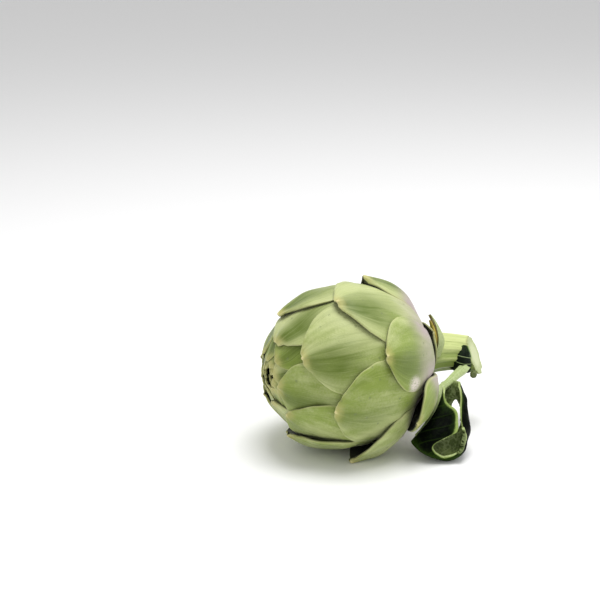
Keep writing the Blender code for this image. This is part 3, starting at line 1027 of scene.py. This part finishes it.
@dataclass
class ArtichokeHead:
    """The head: bracts on a spiral round a hidden core, by their places in the spiral from the base up.

    Polars are degrees from the apex. A tone is how pale a bract is, from about 0 to 1; those listed are partly
    painted light, set to how light falls on each bract, and the rest are drawn at random.
    """

    form: HeadForm = field(default_factory=HeadForm)
    cut: BractCut = field(default_factory=BractCut)
    first: int = -2
    last: int = 36
    seed: int = 11
    golden_angle: float = math.radians(137.508)
    spiral_start: float = math.radians(322.0)
    polar_end: float = 4.2
    polar_span: float = 118.8
    polar_count: float = 10.8
    polar_power: float = 1.4
    width_polar: float = 20.0
    width_power: float = 1.35
    low_narrowing: float = 0.20
    narrowing_from: float = 60.0
    narrowing_over: float = 45.0
    lowest_polars: dict[int, float] = field(default_factory=lambda: {
        -2: 152.0, -1: 148.0, 0: 152.0, 1: 124.0,
    })
    base_shares: dict[int, float] = field(default_factory=lambda: {-2: 0.50, -1: 0.55, 0: 0.62, 1: 0.95})
    set_out: dict[int, Stance] = field(default_factory=lambda: {
        2: Stance(10, -5, 0.0064, 0.042, broad=0.80, tip=0.05, cup=0.9, bulge=0.0034, lean=-0.2),
        3: Stance(-6, -3, 0.0018, 0.044, broad=0.65, tip=0.10, cup=1.15, bulge=0.0030, even=True),
        4: Stance(0, -2, 0.0015, 0.038),
        5: Stance(5, -2, 0.0006, 0.020, broad=0.93),
        7: Stance(7, 3, 0.0055, 0.050, tip=0.07, cup=0.9),
        8: Stance(-3, 2, 0.0014, 0.024, broad=1.18),
        10: Stance(0, 1, 0.0008, 0.020, broad=1.06),
        11: Stance(-12, -7, 0.0014, 0.034, tip=0.13),
        12: Stance(17, -2, 0.0030, 0.034),
        13: Stance(-3, -3, 0.0005, 0.014, broad=1.14),
        15: Stance(-3, -3, 0.0013, 0.018, broad=1.15),
        16: Stance(-6, -3, 0.0011, 0.012, broad=1.06),
        18: Stance(-13, -6, 0.0018, 0.014),
        20: Stance(0, 0, 0.0010, 0.010),
        21: Stance(0, 0, 0.0010, 0.008),
        26: Stance(0, 0, 0.0012, 0.008),
        31: Stance(0, 0, 0.0008, 0.006),
    })
    # Partly painted light: these bracts are set paler or darker to how light falls on them.
    tones_with_painted_light: dict[int, float] = field(default_factory=lambda: {
        2: 0.15, 3: 0.95, 5: 0.30, 7: 0.50, 8: 0.80, 10: 0.50, 11: 0.85, 13: 1.10, 15: 0.05, 16: 1.30,
        18: 0.60,
    })
    tone_seed: int = 500
    size_range: Band = (0.96, 1.03)
    tight_flares: Band = (0.0001, 0.0006)
    large_grid: tuple[int, int] = (40, 46)
    small_grid: tuple[int, int] = (18, 20)
    first_small: int = 19
    core_grid: tuple[int, int] = (24, 48)
    core_pole: float = 0.02
    core_depth: float = 0.011
    heart_scales: int = 6
    heart_polar: float = math.radians(0.9)
    heart_half_width: float = 0.0034
    heart_length: float = 0.012
    heart_rise: float = 0.0002
    heart_step: float = 0.0003
    scuffed: int = 5
    scuff_place: Point = (0.0176, -0.0461, 0.0004)
    scuff_reach: float = 0.0056

    def tip_polar(self, index: int) -> float:
        """Angle in degrees from the apex at which the bract with this place in the spiral ends."""
        if index in self.lowest_polars:
            return self.lowest_polars[index]
        return self.polar_end + self.polar_span * math.exp(-((index / self.polar_count) ** self.polar_power))

    def bracts(self) -> list[Bract]:
        """Draw up every bract, from the lowest to the apex.

        Returns:
            The bracts, with the sizes that their solids have.
        """
        chance = random.Random(self.seed)
        made = []
        for index in range(self.first, self.last + 1):
            polar = self.tip_polar(index)
            share = 1 - math.exp(-((polar / self.width_polar) ** self.width_power))
            low = float(smooth_step((polar - self.narrowing_from) / self.narrowing_over))
            share *= 1 - self.low_narrowing * low
            share *= self.base_shares.get(index, 1.0)
            free = self.cut.tight_free * (0.4 + 0.6 * share)
            tight = Stance(0, 0, chance.uniform(*self.tight_flares), free)
            stance = self.set_out.get(index, tight)
            tip = math.radians(polar + stance.down)
            to_stem = (math.pi - tip) * self.form.radius - self.cut.stem_margin
            made.append(Bract(
                form=self.form,
                cut=self.cut,
                index=index,
                polar=tip,
                longitude=self.spiral_start + index * self.golden_angle + math.radians(stance.turn),
                half_width=self.cut.full_half_width * share * chance.uniform(*self.size_range) * stance.broad,
                length=min(self.cut.length * (0.45 + 0.55 * share), to_stem),
                rise=self.cut.rise - (0 if index > 0 else self.cut.base_press),
                stance=stance,
            ))
        return made

    def heart(self) -> list[Bract]:
        """Draw up the small scales that close the head at its apex.

        Returns:
            The scales, as small bracts.
        """
        return [
            Bract(
                form=self.form,
                cut=self.cut,
                index=self.last + 1 + number,
                polar=self.heart_polar * (1 + number % 3),
                longitude=number * self.golden_angle,
                half_width=self.heart_half_width,
                length=self.heart_length,
                rise=self.heart_rise - self.heart_step * number,
                stance=Stance(0, 0, 0.0, self.cut.tight_free),
            )
            for number in range(self.heart_scales)
        ]

    def add_bract(self, patches: Patchwork, bract: Bract) -> None:
        """Lay one bract among the patches as a closed thin shell.

        Args:
            patches: The patches of the head.
            bract: The bract.
        """
        rows, columns = self.small_grid if bract.index >= self.first_small else self.large_grid
        row, spread = lattice(rows, columns, over=(-1, 1))
        across = np.sign(spread) * (1 - (1 - np.abs(spread)) ** self.cut.column_crowding)
        outer, inner, traits = bract.skins(across, row)
        points = np.concatenate([outer.reshape(-1, 3), inner.reshape(-1, 3)])
        both = {name: np.tile(numbers.ravel(), 2) for name, numbers in traits.items()}
        both["own"] = self.tones_with_painted_light.get(bract.index, random.Random(bract.index + self.tone_seed).random())
        # The inner faces carry the painted shade.
        both["inner"] = np.repeat([0.0, 1.0], row.size)
        away = np.linalg.norm(points - self.form.middle - np.array(self.scuff_place), axis=1)
        both["scuff"] = bell(away, self.scuff_reach) * (bract.index == self.scuffed)
        patches.add(points, facing_out(points, shell_faces(rows, columns)), both)

    def add_core(self, patches: Patchwork) -> None:
        """Lay the core inside the bracts, where it closes the gaps under loose tips with painted shade, near
        black.

        Args:
            patches: The patches of the head.
        """
        rows, columns = self.core_grid
        poles = (self.core_pole, math.pi - self.core_pole)
        polar, longitude = lattice(rows, columns, poles, (0, FULL_TURN))
        direction = self.form.direction(polar, longitude)
        reach = self.form.envelope(direction) - self.core_depth
        points = (self.form.middle + direction * reach[..., None]).reshape(-1, 3)
        traits = {"across": 0.0, "along": polar * 40, "aside": longitude * 40, "margin": 9.0, "spine": 0.0,
                  "polar": 0.0, "up": 0.0, "own": 0.5, "inner": 1.0, "scuff": 0.0}
        faces = grid_faces(rows, columns)
        patches.add(points, facing_out(points, faces), traits, finish_number=1)

    def build(self) -> bpy.types.Object:
        """Build the dressed head.

        Returns:
            The piece that stands for the head.
        """
        patches = Patchwork("bracts")
        for bract in self.bracts() + self.heart():
            self.add_bract(patches, bract)
        self.add_core(patches)
        piece = patches.build([BractFinish().material(), CoreShadeFinish().material()])
        return fitted(piece, "head")


# Rolled blades


@dataclass(frozen=True)
class RolledBlade:
    """A small leaf rolled round a hollow, laid out along its own curve relative to the head's centre.

    Curls are degrees from its middle line to a margin. Veins cross it at these shares of its length, or, where
    none are given, three of them run along it.
    """

    name: str
    path: tuple[Point, ...]
    widths: tuple[float, ...]
    curls: tuple[float, ...]
    hollow: Point
    thickness: float
    vein_places: tuple[float, ...] = ()
    cross_vein_width: float = 0.018
    cross_vein_bow: float = 0.05
    long_vein_places: Point = (-0.5, 0.0, 0.5)
    long_vein_width: float = 0.10
    vein_depth: float = 0.0001
    dent: float = 0.00018
    pattern_length: float = 26
    rows: int = 44
    columns: int = 40

    def vein(self, share: Array, across: Array) -> Array:
        """How strongly a vein runs here, from 0 to 1."""
        if self.vein_places:
            bowed = share - self.cross_vein_bow * across**2
            veins = [bell(bowed - place, self.cross_vein_width) for place in self.vein_places]
        else:
            veins = [bell(across - place, self.long_vein_width) for place in self.long_vein_places]
        return np.clip(sum(veins), 0, 1)

    def sheet(self, centre: Array, finishes: Sequence[bpy.types.Material]) -> bpy.types.Object:
        """Build the blade.

        Args:
            centre: The head's centre.
            finishes: Its finishes, in the order of Layer.

        Returns:
            The blade as a thin solid.
        """
        share, across = lattice(self.rows, self.columns, over=(-1, 1))
        middle, forward = curve_between(self.path, share), direction_along(self.path, share)
        inwards = np.array(self.hollow) - middle
        inwards = unit(inwards - forward * dot(inwards, forward)[..., None])
        side = np.cross(forward, inwards)
        width, curl = curve_between(self.widths, share), np.radians(curve_between(self.curls, share))
        radius, angle = width / curl, across * curl
        vein = self.vein(share, across)
        dent = self.dent * ripple(len(self.name), across * 1.7, share * 2.1)
        reach = radius + dent - self.vein_depth * vein
        points = (middle + side * (reach * np.sin(angle))[..., None]
                  + inwards * (radius - reach * np.cos(angle))[..., None] + centre)
        traits = {
            "along": share * self.pattern_length,
            "aside": across * width * MILLI,
            "vein": vein,
            "fresh": np.abs(across) ** 3 * 0.5 + share * 0.3,
            "margin": (1 - np.abs(across)) * width * MILLI,
        }
        patches = Patchwork(self.name)
        faces = grid_faces(self.rows, self.columns)
        normal = np.cross(points[1, 0] - points[0, 0], points[0, 1] - points[0, 0])
        if np.dot(normal, inwards[0, 0]) > 0:
            faces = faces[:, ::-1]
        patches.add(points, faces, traits)
        return thickened(patches.build(finishes), self.thickness, offset=1.0)


# The stem


@dataclass
class Stem:
    """The cut stem with its ribs, its knife cut and the small bract at its top."""

    form: HeadForm
    path: tuple[Point, ...] = (
        (0.0385, 0.0, 0.0), (0.0590, -0.0002, -0.0014), (0.0745, -0.0035, -0.0035),
        (0.0900, -0.0130, -0.0072),
    )
    radii: tuple[float, ...] = (0.0132, 0.0112, 0.0102, 0.0106)
    start_share: float = 0.01
    ribs: int = 11
    fine_ribs: int = 37
    rib_height: float = 0.0005
    unevenness: float = 0.00025
    tearing: float = 0.00065
    torn_from: float = 0.70
    torn_over: float = 0.20
    sides: int = 176
    rings: int = 90
    cut_point: Point = (0.0800, -0.0068, -0.0045)
    cut_normal: Point = (0.70, -0.62, 0.35)
    cut_search: Band = (0.3, 1.0)
    cut_halvings: int = 24
    cut_rings: int = 12
    cut_eye: float = 0.002
    cut_dome: float = 0.0004
    cut_grain: float = 0.00012
    cut_grain_wave: float = 0.006
    lip_reach: float = 0.0008

    def centre_line(self, share: Array) -> tuple[Array, Array, Array]:
        """The middle of the stem at these shares of it, and the two directions across it."""
        forward = direction_along(self.path, share)
        side = unit(np.cross(forward, UPWARDS))
        return curve_between(self.path, share), side, np.cross(side, forward)

    def rib(self, angle: Array, share: Array) -> Array:
        """Height of the ribs from -1 in the grooves to 1 on the crests."""
        drift = 0.10 * np.sin(2 * angle + 1.0) + 0.06 * np.sin(5 * angle + 4 * share)
        main = np.cos(self.ribs * (angle + drift * 0.6)) * (0.8 + 0.3 * np.sin(3 * angle + 2.0))
        return np.clip(main + 0.22 * np.cos(self.fine_ribs * angle + 3 * share), -1.1, 1.1)

    def side_points(self, angle: Array, share: Array) -> Array:
        """Points of the stem's ribbed side."""
        centre, side, up = self.centre_line(share)
        radius = curve_between(self.radii, share) + self.rib_height * self.rib(angle, share)
        uneven = ripple(41, np.sin(angle) * 0.8, np.cos(angle) * 0.8, share * 1.6)
        torn = ripple(44, np.sin(angle) * 0.9, np.cos(angle) * 0.9, share * 2.0)
        torn = torn * smooth_step((share - self.torn_from) / self.torn_over)
        radius = radius + self.unevenness * uneven + self.tearing * torn
        across = side * np.cos(angle)[..., None] + up * np.sin(angle)[..., None]
        return self.form.middle + centre + across * radius[..., None]

    def cut_share(self, angles: Array) -> Array:
        """How far along the stem the knife met each line of its side."""
        low, high = (np.full(angles.shape, share) for share in self.cut_search)
        point = self.form.middle + np.array(self.cut_point)
        normal = unit(np.array(self.cut_normal))
        for _ in range(self.cut_halvings):
            half = (low + high) / 2
            beyond = (self.side_points(angles, half) - point) @ normal > 0
            low, high = np.where(beyond, low, half), np.where(beyond, half, high)
        return low

    def build(self) -> list[bpy.types.Object]:
        """Build the stem and the small bract.

        Returns:
            The pieces that stand for the stem.
        """
        pieces = (self.body(), self.small_bract(), self.dry_scale())
        return [fitted(piece, "stem") for piece in pieces]

    def body(self) -> bpy.types.Object:
        """Build the ribbed stem with its knife cut.

        Returns:
            The piece.
        """
        part, angle = lattice(self.rings, self.sides, over=(0, FULL_TURN))
        ends = self.cut_share(angle[0])
        ends[-1] = ends[0]
        share = self.start_share + (ends - self.start_share) * part
        points = self.side_points(angle, share)
        near_cut = np.linalg.norm(points - points[-1:], axis=-1)
        traits = {
            "turn": angle,
            "along": curve_between(self.path, share)[..., 0] * MILLI,
            "aside": 0.0,
            "rib": 0.5 + 0.5 * self.rib(angle, share),
            "up": np.sin(angle),
            "lip": bell(near_cut, self.lip_reach),
        }
        patches = Patchwork("stem_body")
        patches.add(points, grid_faces(self.rings, self.sides)[:, ::-1], traits)
        self.add_cut(patches, points[-1], angle[0])
        return welded(patches.build([StemFinish().material(), CutFinish().material()]))

    def add_cut(self, patches: Patchwork, rim: Array, angles: Array) -> None:
        """Lay the face of the knife cut inside the end of the stem.

        Args:
            patches: The patches of the stem.
            rim: The last ring of its side.
            angles: The angles of the ring's points.
        """
        normal = unit(np.array(self.cut_normal))
        middle = rim[:-1].mean(0)
        outwards = np.linspace(1, self.cut_eye, self.cut_rings + 1)[:, None]
        flat = middle + (rim - middle)[None] * outwards[..., None]
        side = unit(np.cross(normal, UPWARDS))
        x, y = (flat - middle) @ side, (flat - middle) @ np.cross(side, normal)
        grain = ripple(77, x / self.cut_grain_wave, y / self.cut_grain_wave)
        dome = self.cut_dome * smooth_step((1 - outwards) / 0.12) + self.cut_grain * grain
        flat = flat + normal * (dome * (outwards < 1) * 0.5)[..., None]
        traits = {
            "turn": np.broadcast_to(angles, x.shape),
            "along": x * MILLI,
            "aside": y * MILLI,
            "rib": np.broadcast_to(outwards, x.shape),
            "up": 0.3,
            "lip": 0.0,
        }
        patches.add(flat, grid_faces(self.cut_rings, self.sides)[:, ::-1], traits, finish_number=1)

    def small_bract(self) -> bpy.types.Object:
        """Build the small pointed bract at the top of the stem.

        Returns:
            The piece.
        """
        blade = RolledBlade(
            name="stem_bract",
            path=((0.0545, -0.0095, 0.0000), (0.0567, -0.0100, 0.0085), (0.0553, -0.0070, 0.0165),
                  (0.0512, -0.0030, 0.0242)),
            widths=(0.0085, 0.0088, 0.0062, 0.0008),
            curls=(75, 70, 58, 30),
            hollow=(0.030, 0.0, 0.010),
            thickness=0.0011,
        )
        inner = EdgeFinish("stem_bract_inner", (0.42, 0.34, 0.07), (0.10, 0.07, 0.02))
        outer = EdgeFinish("stem_bract_outer", (0.45, 0.52, 0.24), (0.24, 0.30, 0.10))
        edge = EdgeFinish("stem_bract_edge", (0.30, 0.28, 0.12), (0.12, 0.10, 0.05))
        return blade.sheet(self.form.middle, [inner.material(), outer.material(), edge.material()])

    def dry_scale(self) -> bpy.types.Object:
        """Build the dry yellow scale between the small bract and the head.

        Returns:
            The piece.
        """
        blade = RolledBlade(
            name="dry_scale",
            path=((0.0528, -0.0082, 0.0030), (0.0539, -0.0089, 0.0090), (0.0529, -0.0068, 0.0160),
                  (0.0506, -0.0044, 0.0212)),
            widths=(0.0058, 0.0064, 0.0056, 0.0016),
            curls=(50, 50, 45, 30),
            hollow=(0.030, 0.0, 0.010),
            thickness=0.0008,
            rows=24,
            columns=20,
        )
        dry = EdgeFinish("dry_scale_yellow", (0.62, 0.52, 0.10), (0.34, 0.24, 0.05), 0.6).material()
        return blade.sheet(self.form.middle, [dry, dry, dry])


# The stem leaf


@dataclass
class StemLeaf:
    """The stem leaf: a stalk, a blade rolled to a pouch, and a small lobe and a bud stub at the stalk's foot.

    Places are relative to the head's centre. The rim's points are degrees round the pouch from its far side
    and heights in mm above its foot, and the sizes of the veins are in the same units.
    """

    form: HeadForm
    foot: Point = (0.0349, -0.0468, -0.0482)
    side: Point = (0.8998, -0.4363, 0.0)
    up: Point = (0.1348, 0.2780, 0.9511)
    away: Point = (0.4150, 0.8557, -0.3090)
    height: float = 0.045
    radii: tuple[float, ...] = (0.0, 0.0036, 0.0090, 0.0135, 0.0163, 0.0166, 0.0136, 0.0103, 0.0070)
    shifts: tuple[float, ...] = (0.0023, 0.0022, 0.0011, -0.0003, -0.0014, 0.0001, 0.0028, 0.0046, 0.0050)
    depth_share: float = 0.8
    lean: float = 0.016
    lean_power: float = 2.4
    clear_of_head: float = 0.0553
    clear_ease: float = 0.0006
    rim: tuple[Band, ...] = (
        (185, 2.9), (150, 4.2), (130, 6.8), (124, 12.1), (135, 17.8), (142, 23.6), (145, 29.3), (137, 35.0),
        (120, 40.8), (90, 43.5), (45, 44.5), (0, 44.5), (-45, 43.7), (-100, 42.5), (-150, 39.5), (-173, 33.3),
        (-203, 28.6), (-209, 22.5), (-208, 17.6), (-197, 15.6), (-176, 12.6), (-162, 9.2), (-159, 6.3),
        (-166, 3.7), (-175, 2.9),
    )
    seam_angle: float = 185.0
    columns: int = 220
    rows: int = 60
    row_crowding: float = 1.4
    thickness: float = 0.0011
    crumple: float = 0.00055
    crumple_wave: float = 0.017
    crinkle: float = 0.00018
    crinkle_wave: float = 0.007
    vein_depth: float = 0.00028
    vein_spacing: float = 6.2
    vein_climb: float = 0.10
    vein_width: float = 0.085
    vein_reach: float = 190.0
    midrib_angle: float = -97.0
    midrib_width: float = 4.0
    midrib_heights: tuple[float, ...] = (0.036, 0.029, 0.022, 0.016)
    ground: float = 0.0002
    hole: Point = (0.0535, -0.0310, -0.0290)
    hole_size: Point = (0.0032, 0.0095, 0.0085)
    stalk_path: tuple[Point, ...] = (
        (0.0707, -0.0110, -0.0085), (0.0669, -0.0144, -0.0092), (0.0615, -0.0165, -0.0108),
        (0.0539, -0.0201, -0.0132), (0.0476, -0.0229, -0.0149),
    )
    stalk_radii: tuple[float, ...] = (0.0036, 0.0030, 0.0026, 0.0024, 0.0023, 0.0021, 0.0018, 0.0014, 0.0009)
    stalk_grid: tuple[int, int] = (90, 28)
    stalk_ridges: int = 6
    stalk_groove: float = 0.16
    stub_centre: Point = (0.0744, -0.0153, -0.0131)
    stub_radius: float = 0.0021
    stub_grid: tuple[int, int] = (20, 28)
    stub_hollow: float = 0.28
    stub_ridges: int = 7

    def pouch_points(self, angle: Array, height: Array, proud: Array | float = 0.0) -> Array:
        """Place points on the rolled blade.

        Args:
            angle: The angle round it from its far side.
            height: The height up it from its foot.
            proud: How far the points stand out of its smooth form.

        Returns:
            Points relative to the head's centre, kept off the head.
        """
        share = np.sqrt(np.clip(height / self.height, 0, 1))
        radius = curve_between(self.radii, share)
        reach = radius + proud
        sideways = curve_between(self.shifts, share) + reach * np.sin(angle)
        away = self.lean * share**self.lean_power + self.depth_share * reach * np.cos(angle)
        point = (np.array(self.foot) + np.array(self.side) * sideways[..., None]
                 + np.array(self.up) * height[..., None] + np.array(self.away) * away[..., None])
        length = np.linalg.norm(point, axis=-1, keepdims=True)
        short = (self.clear_of_head - length) / self.clear_ease
        return point * (1 + self.clear_ease * np.logaddexp(0, short) / length)

    def vein(self, angle: Array, height: Array) -> Array:
        """How strongly a vein runs here, from 0 to 1: side veins climb away from the midrib."""
        turn = np.abs(np.degrees(angle) - self.midrib_angle)
        climb = (height * MILLI - self.vein_climb * turn - 0.9 * np.sin(turn / 23.0)) / self.vein_spacing
        strength = 0.55 + 0.45 * smooth_step(1 - turn / self.vein_reach)
        side = bell(climb - np.round(climb), self.vein_width) * strength
        return np.clip(side + bell(turn, self.midrib_width) * 0.9, 0, 1)

    def blade(self) -> bpy.types.Object:
        """Build the rolled blade, with the gap between its two lobes.

        Returns:
            The piece.
        """
        row, column = lattice(self.rows, self.columns)
        rim = curve_between(self.rim, column)
        start = self.seam_angle - 360 * column
        angle = np.radians(start + (rim[..., 0] - start) * row**2)
        height = rim[..., 1] / MILLI * row**self.row_crowding
        vein = self.vein(angle, height)
        broad = ripple(5, angle * 0.9, height / self.crumple_wave) * self.crumple
        fine = ripple(6, angle * 2.4, height / self.crinkle_wave) * self.crinkle
        crumple = (broad + fine) * smooth_step(height / 0.008) * (0.6 + 0.4 * row)
        proud = crumple - self.vein_depth * vein * smooth_step(height / 0.006)
        points = self.form.middle + self.pouch_points(angle, height, proud)
        points[..., 2] = np.maximum(points[..., 2], self.ground)
        # Painted light: the green tint near the foot, the midrib and the rim marks where light reaches the
        # blade.
        near_foot = smooth_step(1 - height / 0.010)
        near_midrib = bell(np.degrees(angle) - self.midrib_angle, 30)
        near_rim = smooth_step(row * 8 - 7)
        traits = {
            "aside": np.degrees(angle) * 0.25,
            "along": height * MILLI,
            "vein": vein,
            "fresh": near_foot * 0.8 + near_midrib * 0.8 + near_rim * 0.5,
            "margin": rim[..., 1] * (1 - row**self.row_crowding),
        }
        patches = Patchwork("leaf_blade")
        patches.add(points, grid_faces(self.rows, self.columns), traits)
        # Painted shade: the blade's dark side is near black where the head and the stem shade it, and the green
        # tint lifts it where light reaches.
        dark = LeafFinish("leaf_upper", (0.001, 0.002, 0.001), (0.024, 0.055, 0.004), (0.04, 0.08, 0.01),
                          (0.30, 0.40, 0.11), 0.25, 0.42, 0.02, 0.04)
        pale = LeafFinish("leaf_under", (0.085, 0.120, 0.032), (0.31, 0.39, 0.13), (0.52, 0.60, 0.30),
                          (0.50, 0.60, 0.26), 0.9, 0.55)
        edge = EdgeFinish("leaf_edge", (0.56, 0.66, 0.30), (0.30, 0.38, 0.12))
        piece = patches.build([dark.material(), pale.material(), edge.material()])
        self.open_gap(piece)
        return thickened(piece, self.thickness)

    def open_gap(self, piece: bpy.types.Object) -> None:
        """Open the gap in the blade: faces inside an egg shape go, and the edge left is moved onto it.

        Args:
            piece: The blade, still an open sheet.
        """
        axes = np.array([self.side, self.up, self.away])
        size = np.array(self.hole_size)
        centre = self.form.middle + np.array(self.hole)
        bm = bmesh.new()
        bm.from_mesh(piece.data)
        bmesh.ops.remove_doubles(bm, verts=bm.verts[:], dist=0.000005)

        def inside(point: Vector) -> float:
            """How far out a point is, with 1 on the egg's surface."""
            return float(np.linalg.norm(axes @ (np.array(point) - centre) / size))

        gone = [face for face in bm.faces if inside(face.calc_center_median()) < 1]
        before = {vert for vert in bm.verts if vert.is_boundary}
        bmesh.ops.delete(bm, geom=gone, context="FACES")
        for vert in bm.verts:
            if vert.is_boundary and vert not in before:
                local = axes @ (np.array(vert.co) - centre) / size
                vert.co = Vector(centre + (local / np.linalg.norm(local) * size) @ axes)
        bm.normal_update()
        bmesh.ops.recalc_face_normals(bm, faces=bm.faces)
        outermost = max(bm.faces, key=lambda face: face.calc_center_median().dot(Vector(self.side)))
        if outermost.normal.dot(Vector(self.side)) < 0:
            bmesh.ops.reverse_faces(bm, faces=bm.faces)
        bm.to_mesh(piece.data)
        bm.free()

    def stalk(self) -> bpy.types.Object:
        """Build the stalk, which runs on down the blade as its midrib.

        Returns:
            The piece.
        """
        heights = np.array(self.midrib_heights)
        midrib = self.pouch_points(np.full(heights.shape, math.radians(self.midrib_angle)), heights)
        path = np.vstack([self.stalk_path, midrib])
        share, angle = lattice(*self.stalk_grid, over=(0, FULL_TURN))
        centre, forward = curve_between(path, share), direction_along(path, share)
        side = unit(np.cross(forward, UPWARDS))
        across = side * np.cos(angle)[..., None] + np.cross(side, forward) * np.sin(angle)[..., None]
        ridges = 1 + 0.07 * np.cos(self.stalk_ridges * angle)
        groove = 1 - self.stalk_groove * bell(angle - math.pi / 2, 0.5)
        radius = curve_between(self.stalk_radii, share) * ridges * groove * (share < 0.999)
        points = self.form.middle + centre + across * radius[..., None]
        patches = Patchwork("leaf_stalk")
        patches.add(points, grid_faces(*self.stalk_grid), {"aside": angle * 4, "along": share * 55})
        finish = EdgeFinish("stalk_green", (0.55, 0.64, 0.32), (0.30, 0.40, 0.12), 0.42)
        return welded(patches.build([finish.material()]))

    def stub(self) -> bpy.types.Object:
        """Build the bud stub beside the stalk's foot.

        Returns:
            The piece.
        """
        polar, turn = lattice(*self.stub_grid, (0.001, math.pi), (0, FULL_TURN))
        hollowed = 1 - self.stub_hollow * bell(polar, 0.5)
        ridges = 1 + 0.04 * np.cos(self.stub_ridges * turn) * np.sin(polar)
        radius = self.stub_radius * hollowed * ridges
        axes = np.array([self.side, self.up, self.away]) * np.array([[1], [1], [-1]])
        local = np.stack([np.sin(polar) * np.cos(turn), np.sin(polar) * np.sin(turn), np.cos(polar)], -1)
        points = self.form.middle + np.array(self.stub_centre) + (local * radius[..., None]) @ axes
        patches = Patchwork("bud_stub")
        patches.add(points, grid_faces(*self.stub_grid), {"aside": turn * 2, "along": polar * 2})
        finish = EdgeFinish("bud_green", (0.16, 0.20, 0.06), (0.05, 0.06, 0.015))
        return welded(patches.build([finish.material()]))

    def lobe(self) -> bpy.types.Object:
        """Build the small dark lobe in front of the stem.

        Returns:
            The piece.
        """
        blade = RolledBlade(
            name="foot_lobe",
            path=((0.0660, -0.0122, -0.0113), (0.0668, -0.0141, -0.0048), (0.0684, -0.0134, 0.0001),
                  (0.0706, -0.0109, 0.0046)),
            widths=(0.0090, 0.0080, 0.0062, 0.0016),
            curls=(60, 65, 65, 40),
            hollow=(0.0730, -0.0040, -0.0040),
            thickness=0.0009,
            vein_places=(0.30, 0.56),
        )
        inner = LeafFinish("lobe_inner", (0.02, 0.035, 0.012), (0.08, 0.12, 0.04), (0.30, 0.38, 0.15),
                           (0.16, 0.24, 0.07), 0.8, 0.5, 0.10, 0.0)
        outer = LeafFinish("lobe_outer", (0.003, 0.008, 0.003), (0.03, 0.075, 0.010), (0.42, 0.54, 0.24),
                           (0.16, 0.26, 0.06), 1.0, 0.35, 0.10, 0.0)
        edge = EdgeFinish("lobe_edge", (0.16, 0.22, 0.08), (0.06, 0.09, 0.03))
        return blade.sheet(self.form.middle, [inner.material(), outer.material(), edge.material()])

    def build(self) -> list[bpy.types.Object]:
        """Build every part of the leaf.

        Returns:
            The pieces that stand for the leaf.
        """
        pieces = (self.blade(), self.stalk(), self.lobe(), self.stub())
        return [fitted(piece, "leaf") for piece in pieces]


# The studio


@dataclass(frozen=True)
class Lamp:
    """A soft square lamp."""

    name: str
    place: Point
    aim: Point
    size: float
    power: float

    def build(self) -> bpy.types.Object:
        """Put the lamp in the scene.

        Returns:
            The lamp.
        """
        data = bpy.data.lights.new(self.name, "AREA")
        data.shape = "SQUARE"
        data.size = self.size
        data.energy = self.power
        lamp = placed(self.name, data)
        lamp.location = self.place
        lamp.rotation_mode = "QUATERNION"
        lamp.rotation_quaternion = (Vector(self.aim) - Vector(self.place)).to_track_quat("-Z", "Y")
        return lamp


@dataclass
class Studio:
    """A pale floor, soft lamps, a white surround and the camera at the photograph's angle."""

    floor_size: float = 12.0
    floor_colour: Colour = (0.94, 0.94, 0.94)
    surround: float = 0.60
    eye: Point = (-0.35968, -0.66000, 0.33472)
    right: Point = (0.89978636, -0.43633072, 0.0)
    up: Point = (0.13483361, 0.27804928, 0.95105652)
    back: Point = (-0.41497518, -0.85574769, 0.30901699)
    lens_mm: float = 85.0
    sensor_mm: float = 36.0
    lamps: tuple[Lamp, ...] = (
        Lamp("top_lamp", (0.10, -0.02, 1.10), (0.0, 0.0, 0.04), 0.60, 9.5),
        Lamp("side_lamp", (1.15, -0.35, 0.45), (0.0, 0.0, 0.04), 0.80, 3.0),
    )

    def build(self) -> None:
        """Set up the floor, the light and the camera."""
        self.floor()
        for lamp in self.lamps:
            lamp.build()
        world = bpy.data.worlds.new("surround")
        world.use_nodes = True
        background = world.node_tree.nodes["Background"]
        background.inputs["Color"].default_value = (1.0, 1.0, 1.0, 1.0)
        background.inputs["Strength"].default_value = self.surround
        bpy.context.scene.world = world
        bpy.context.scene.view_settings.view_transform = "Standard"
        self.camera()

    def floor(self) -> None:
        """Lay the plain pale floor."""
        half = self.floor_size / 2
        mesh = bpy.data.meshes.new("floor")
        corners = [(-half, -half, 0), (half, -half, 0), (half, half, 0), (-half, half, 0)]
        mesh.from_pydata(corners, [], [(0, 1, 2, 3)])
        graph = Graph("floor_white")
        mesh.materials.append(graph.finished(self.floor_colour, 0.6, Specular_IOR_Level=0.3))
        placed("floor", mesh)

    def camera(self) -> None:
        """Set up the camera."""
        data = bpy.data.cameras.new("camera")
        data.lens = self.lens_mm
        data.sensor_width = self.sensor_mm
        camera = placed("camera", data)
        axes = Matrix([self.right, self.up, self.back]).transposed()
        camera.matrix_world = Matrix.Translation(self.eye) @ axes.to_4x4()
        bpy.context.scene.camera = camera


def main() -> None:
    """Build every piece of the artichoke and its studio, in order."""
    logging.basicConfig(level=logging.INFO, format="%(name)s: %(message)s")
    Studio().build()
    head = ArtichokeHead()
    head.build()
    Stem(head.form).build()
    StemLeaf(head.form).build()
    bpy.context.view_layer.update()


if __name__ == "__main__":
    main()
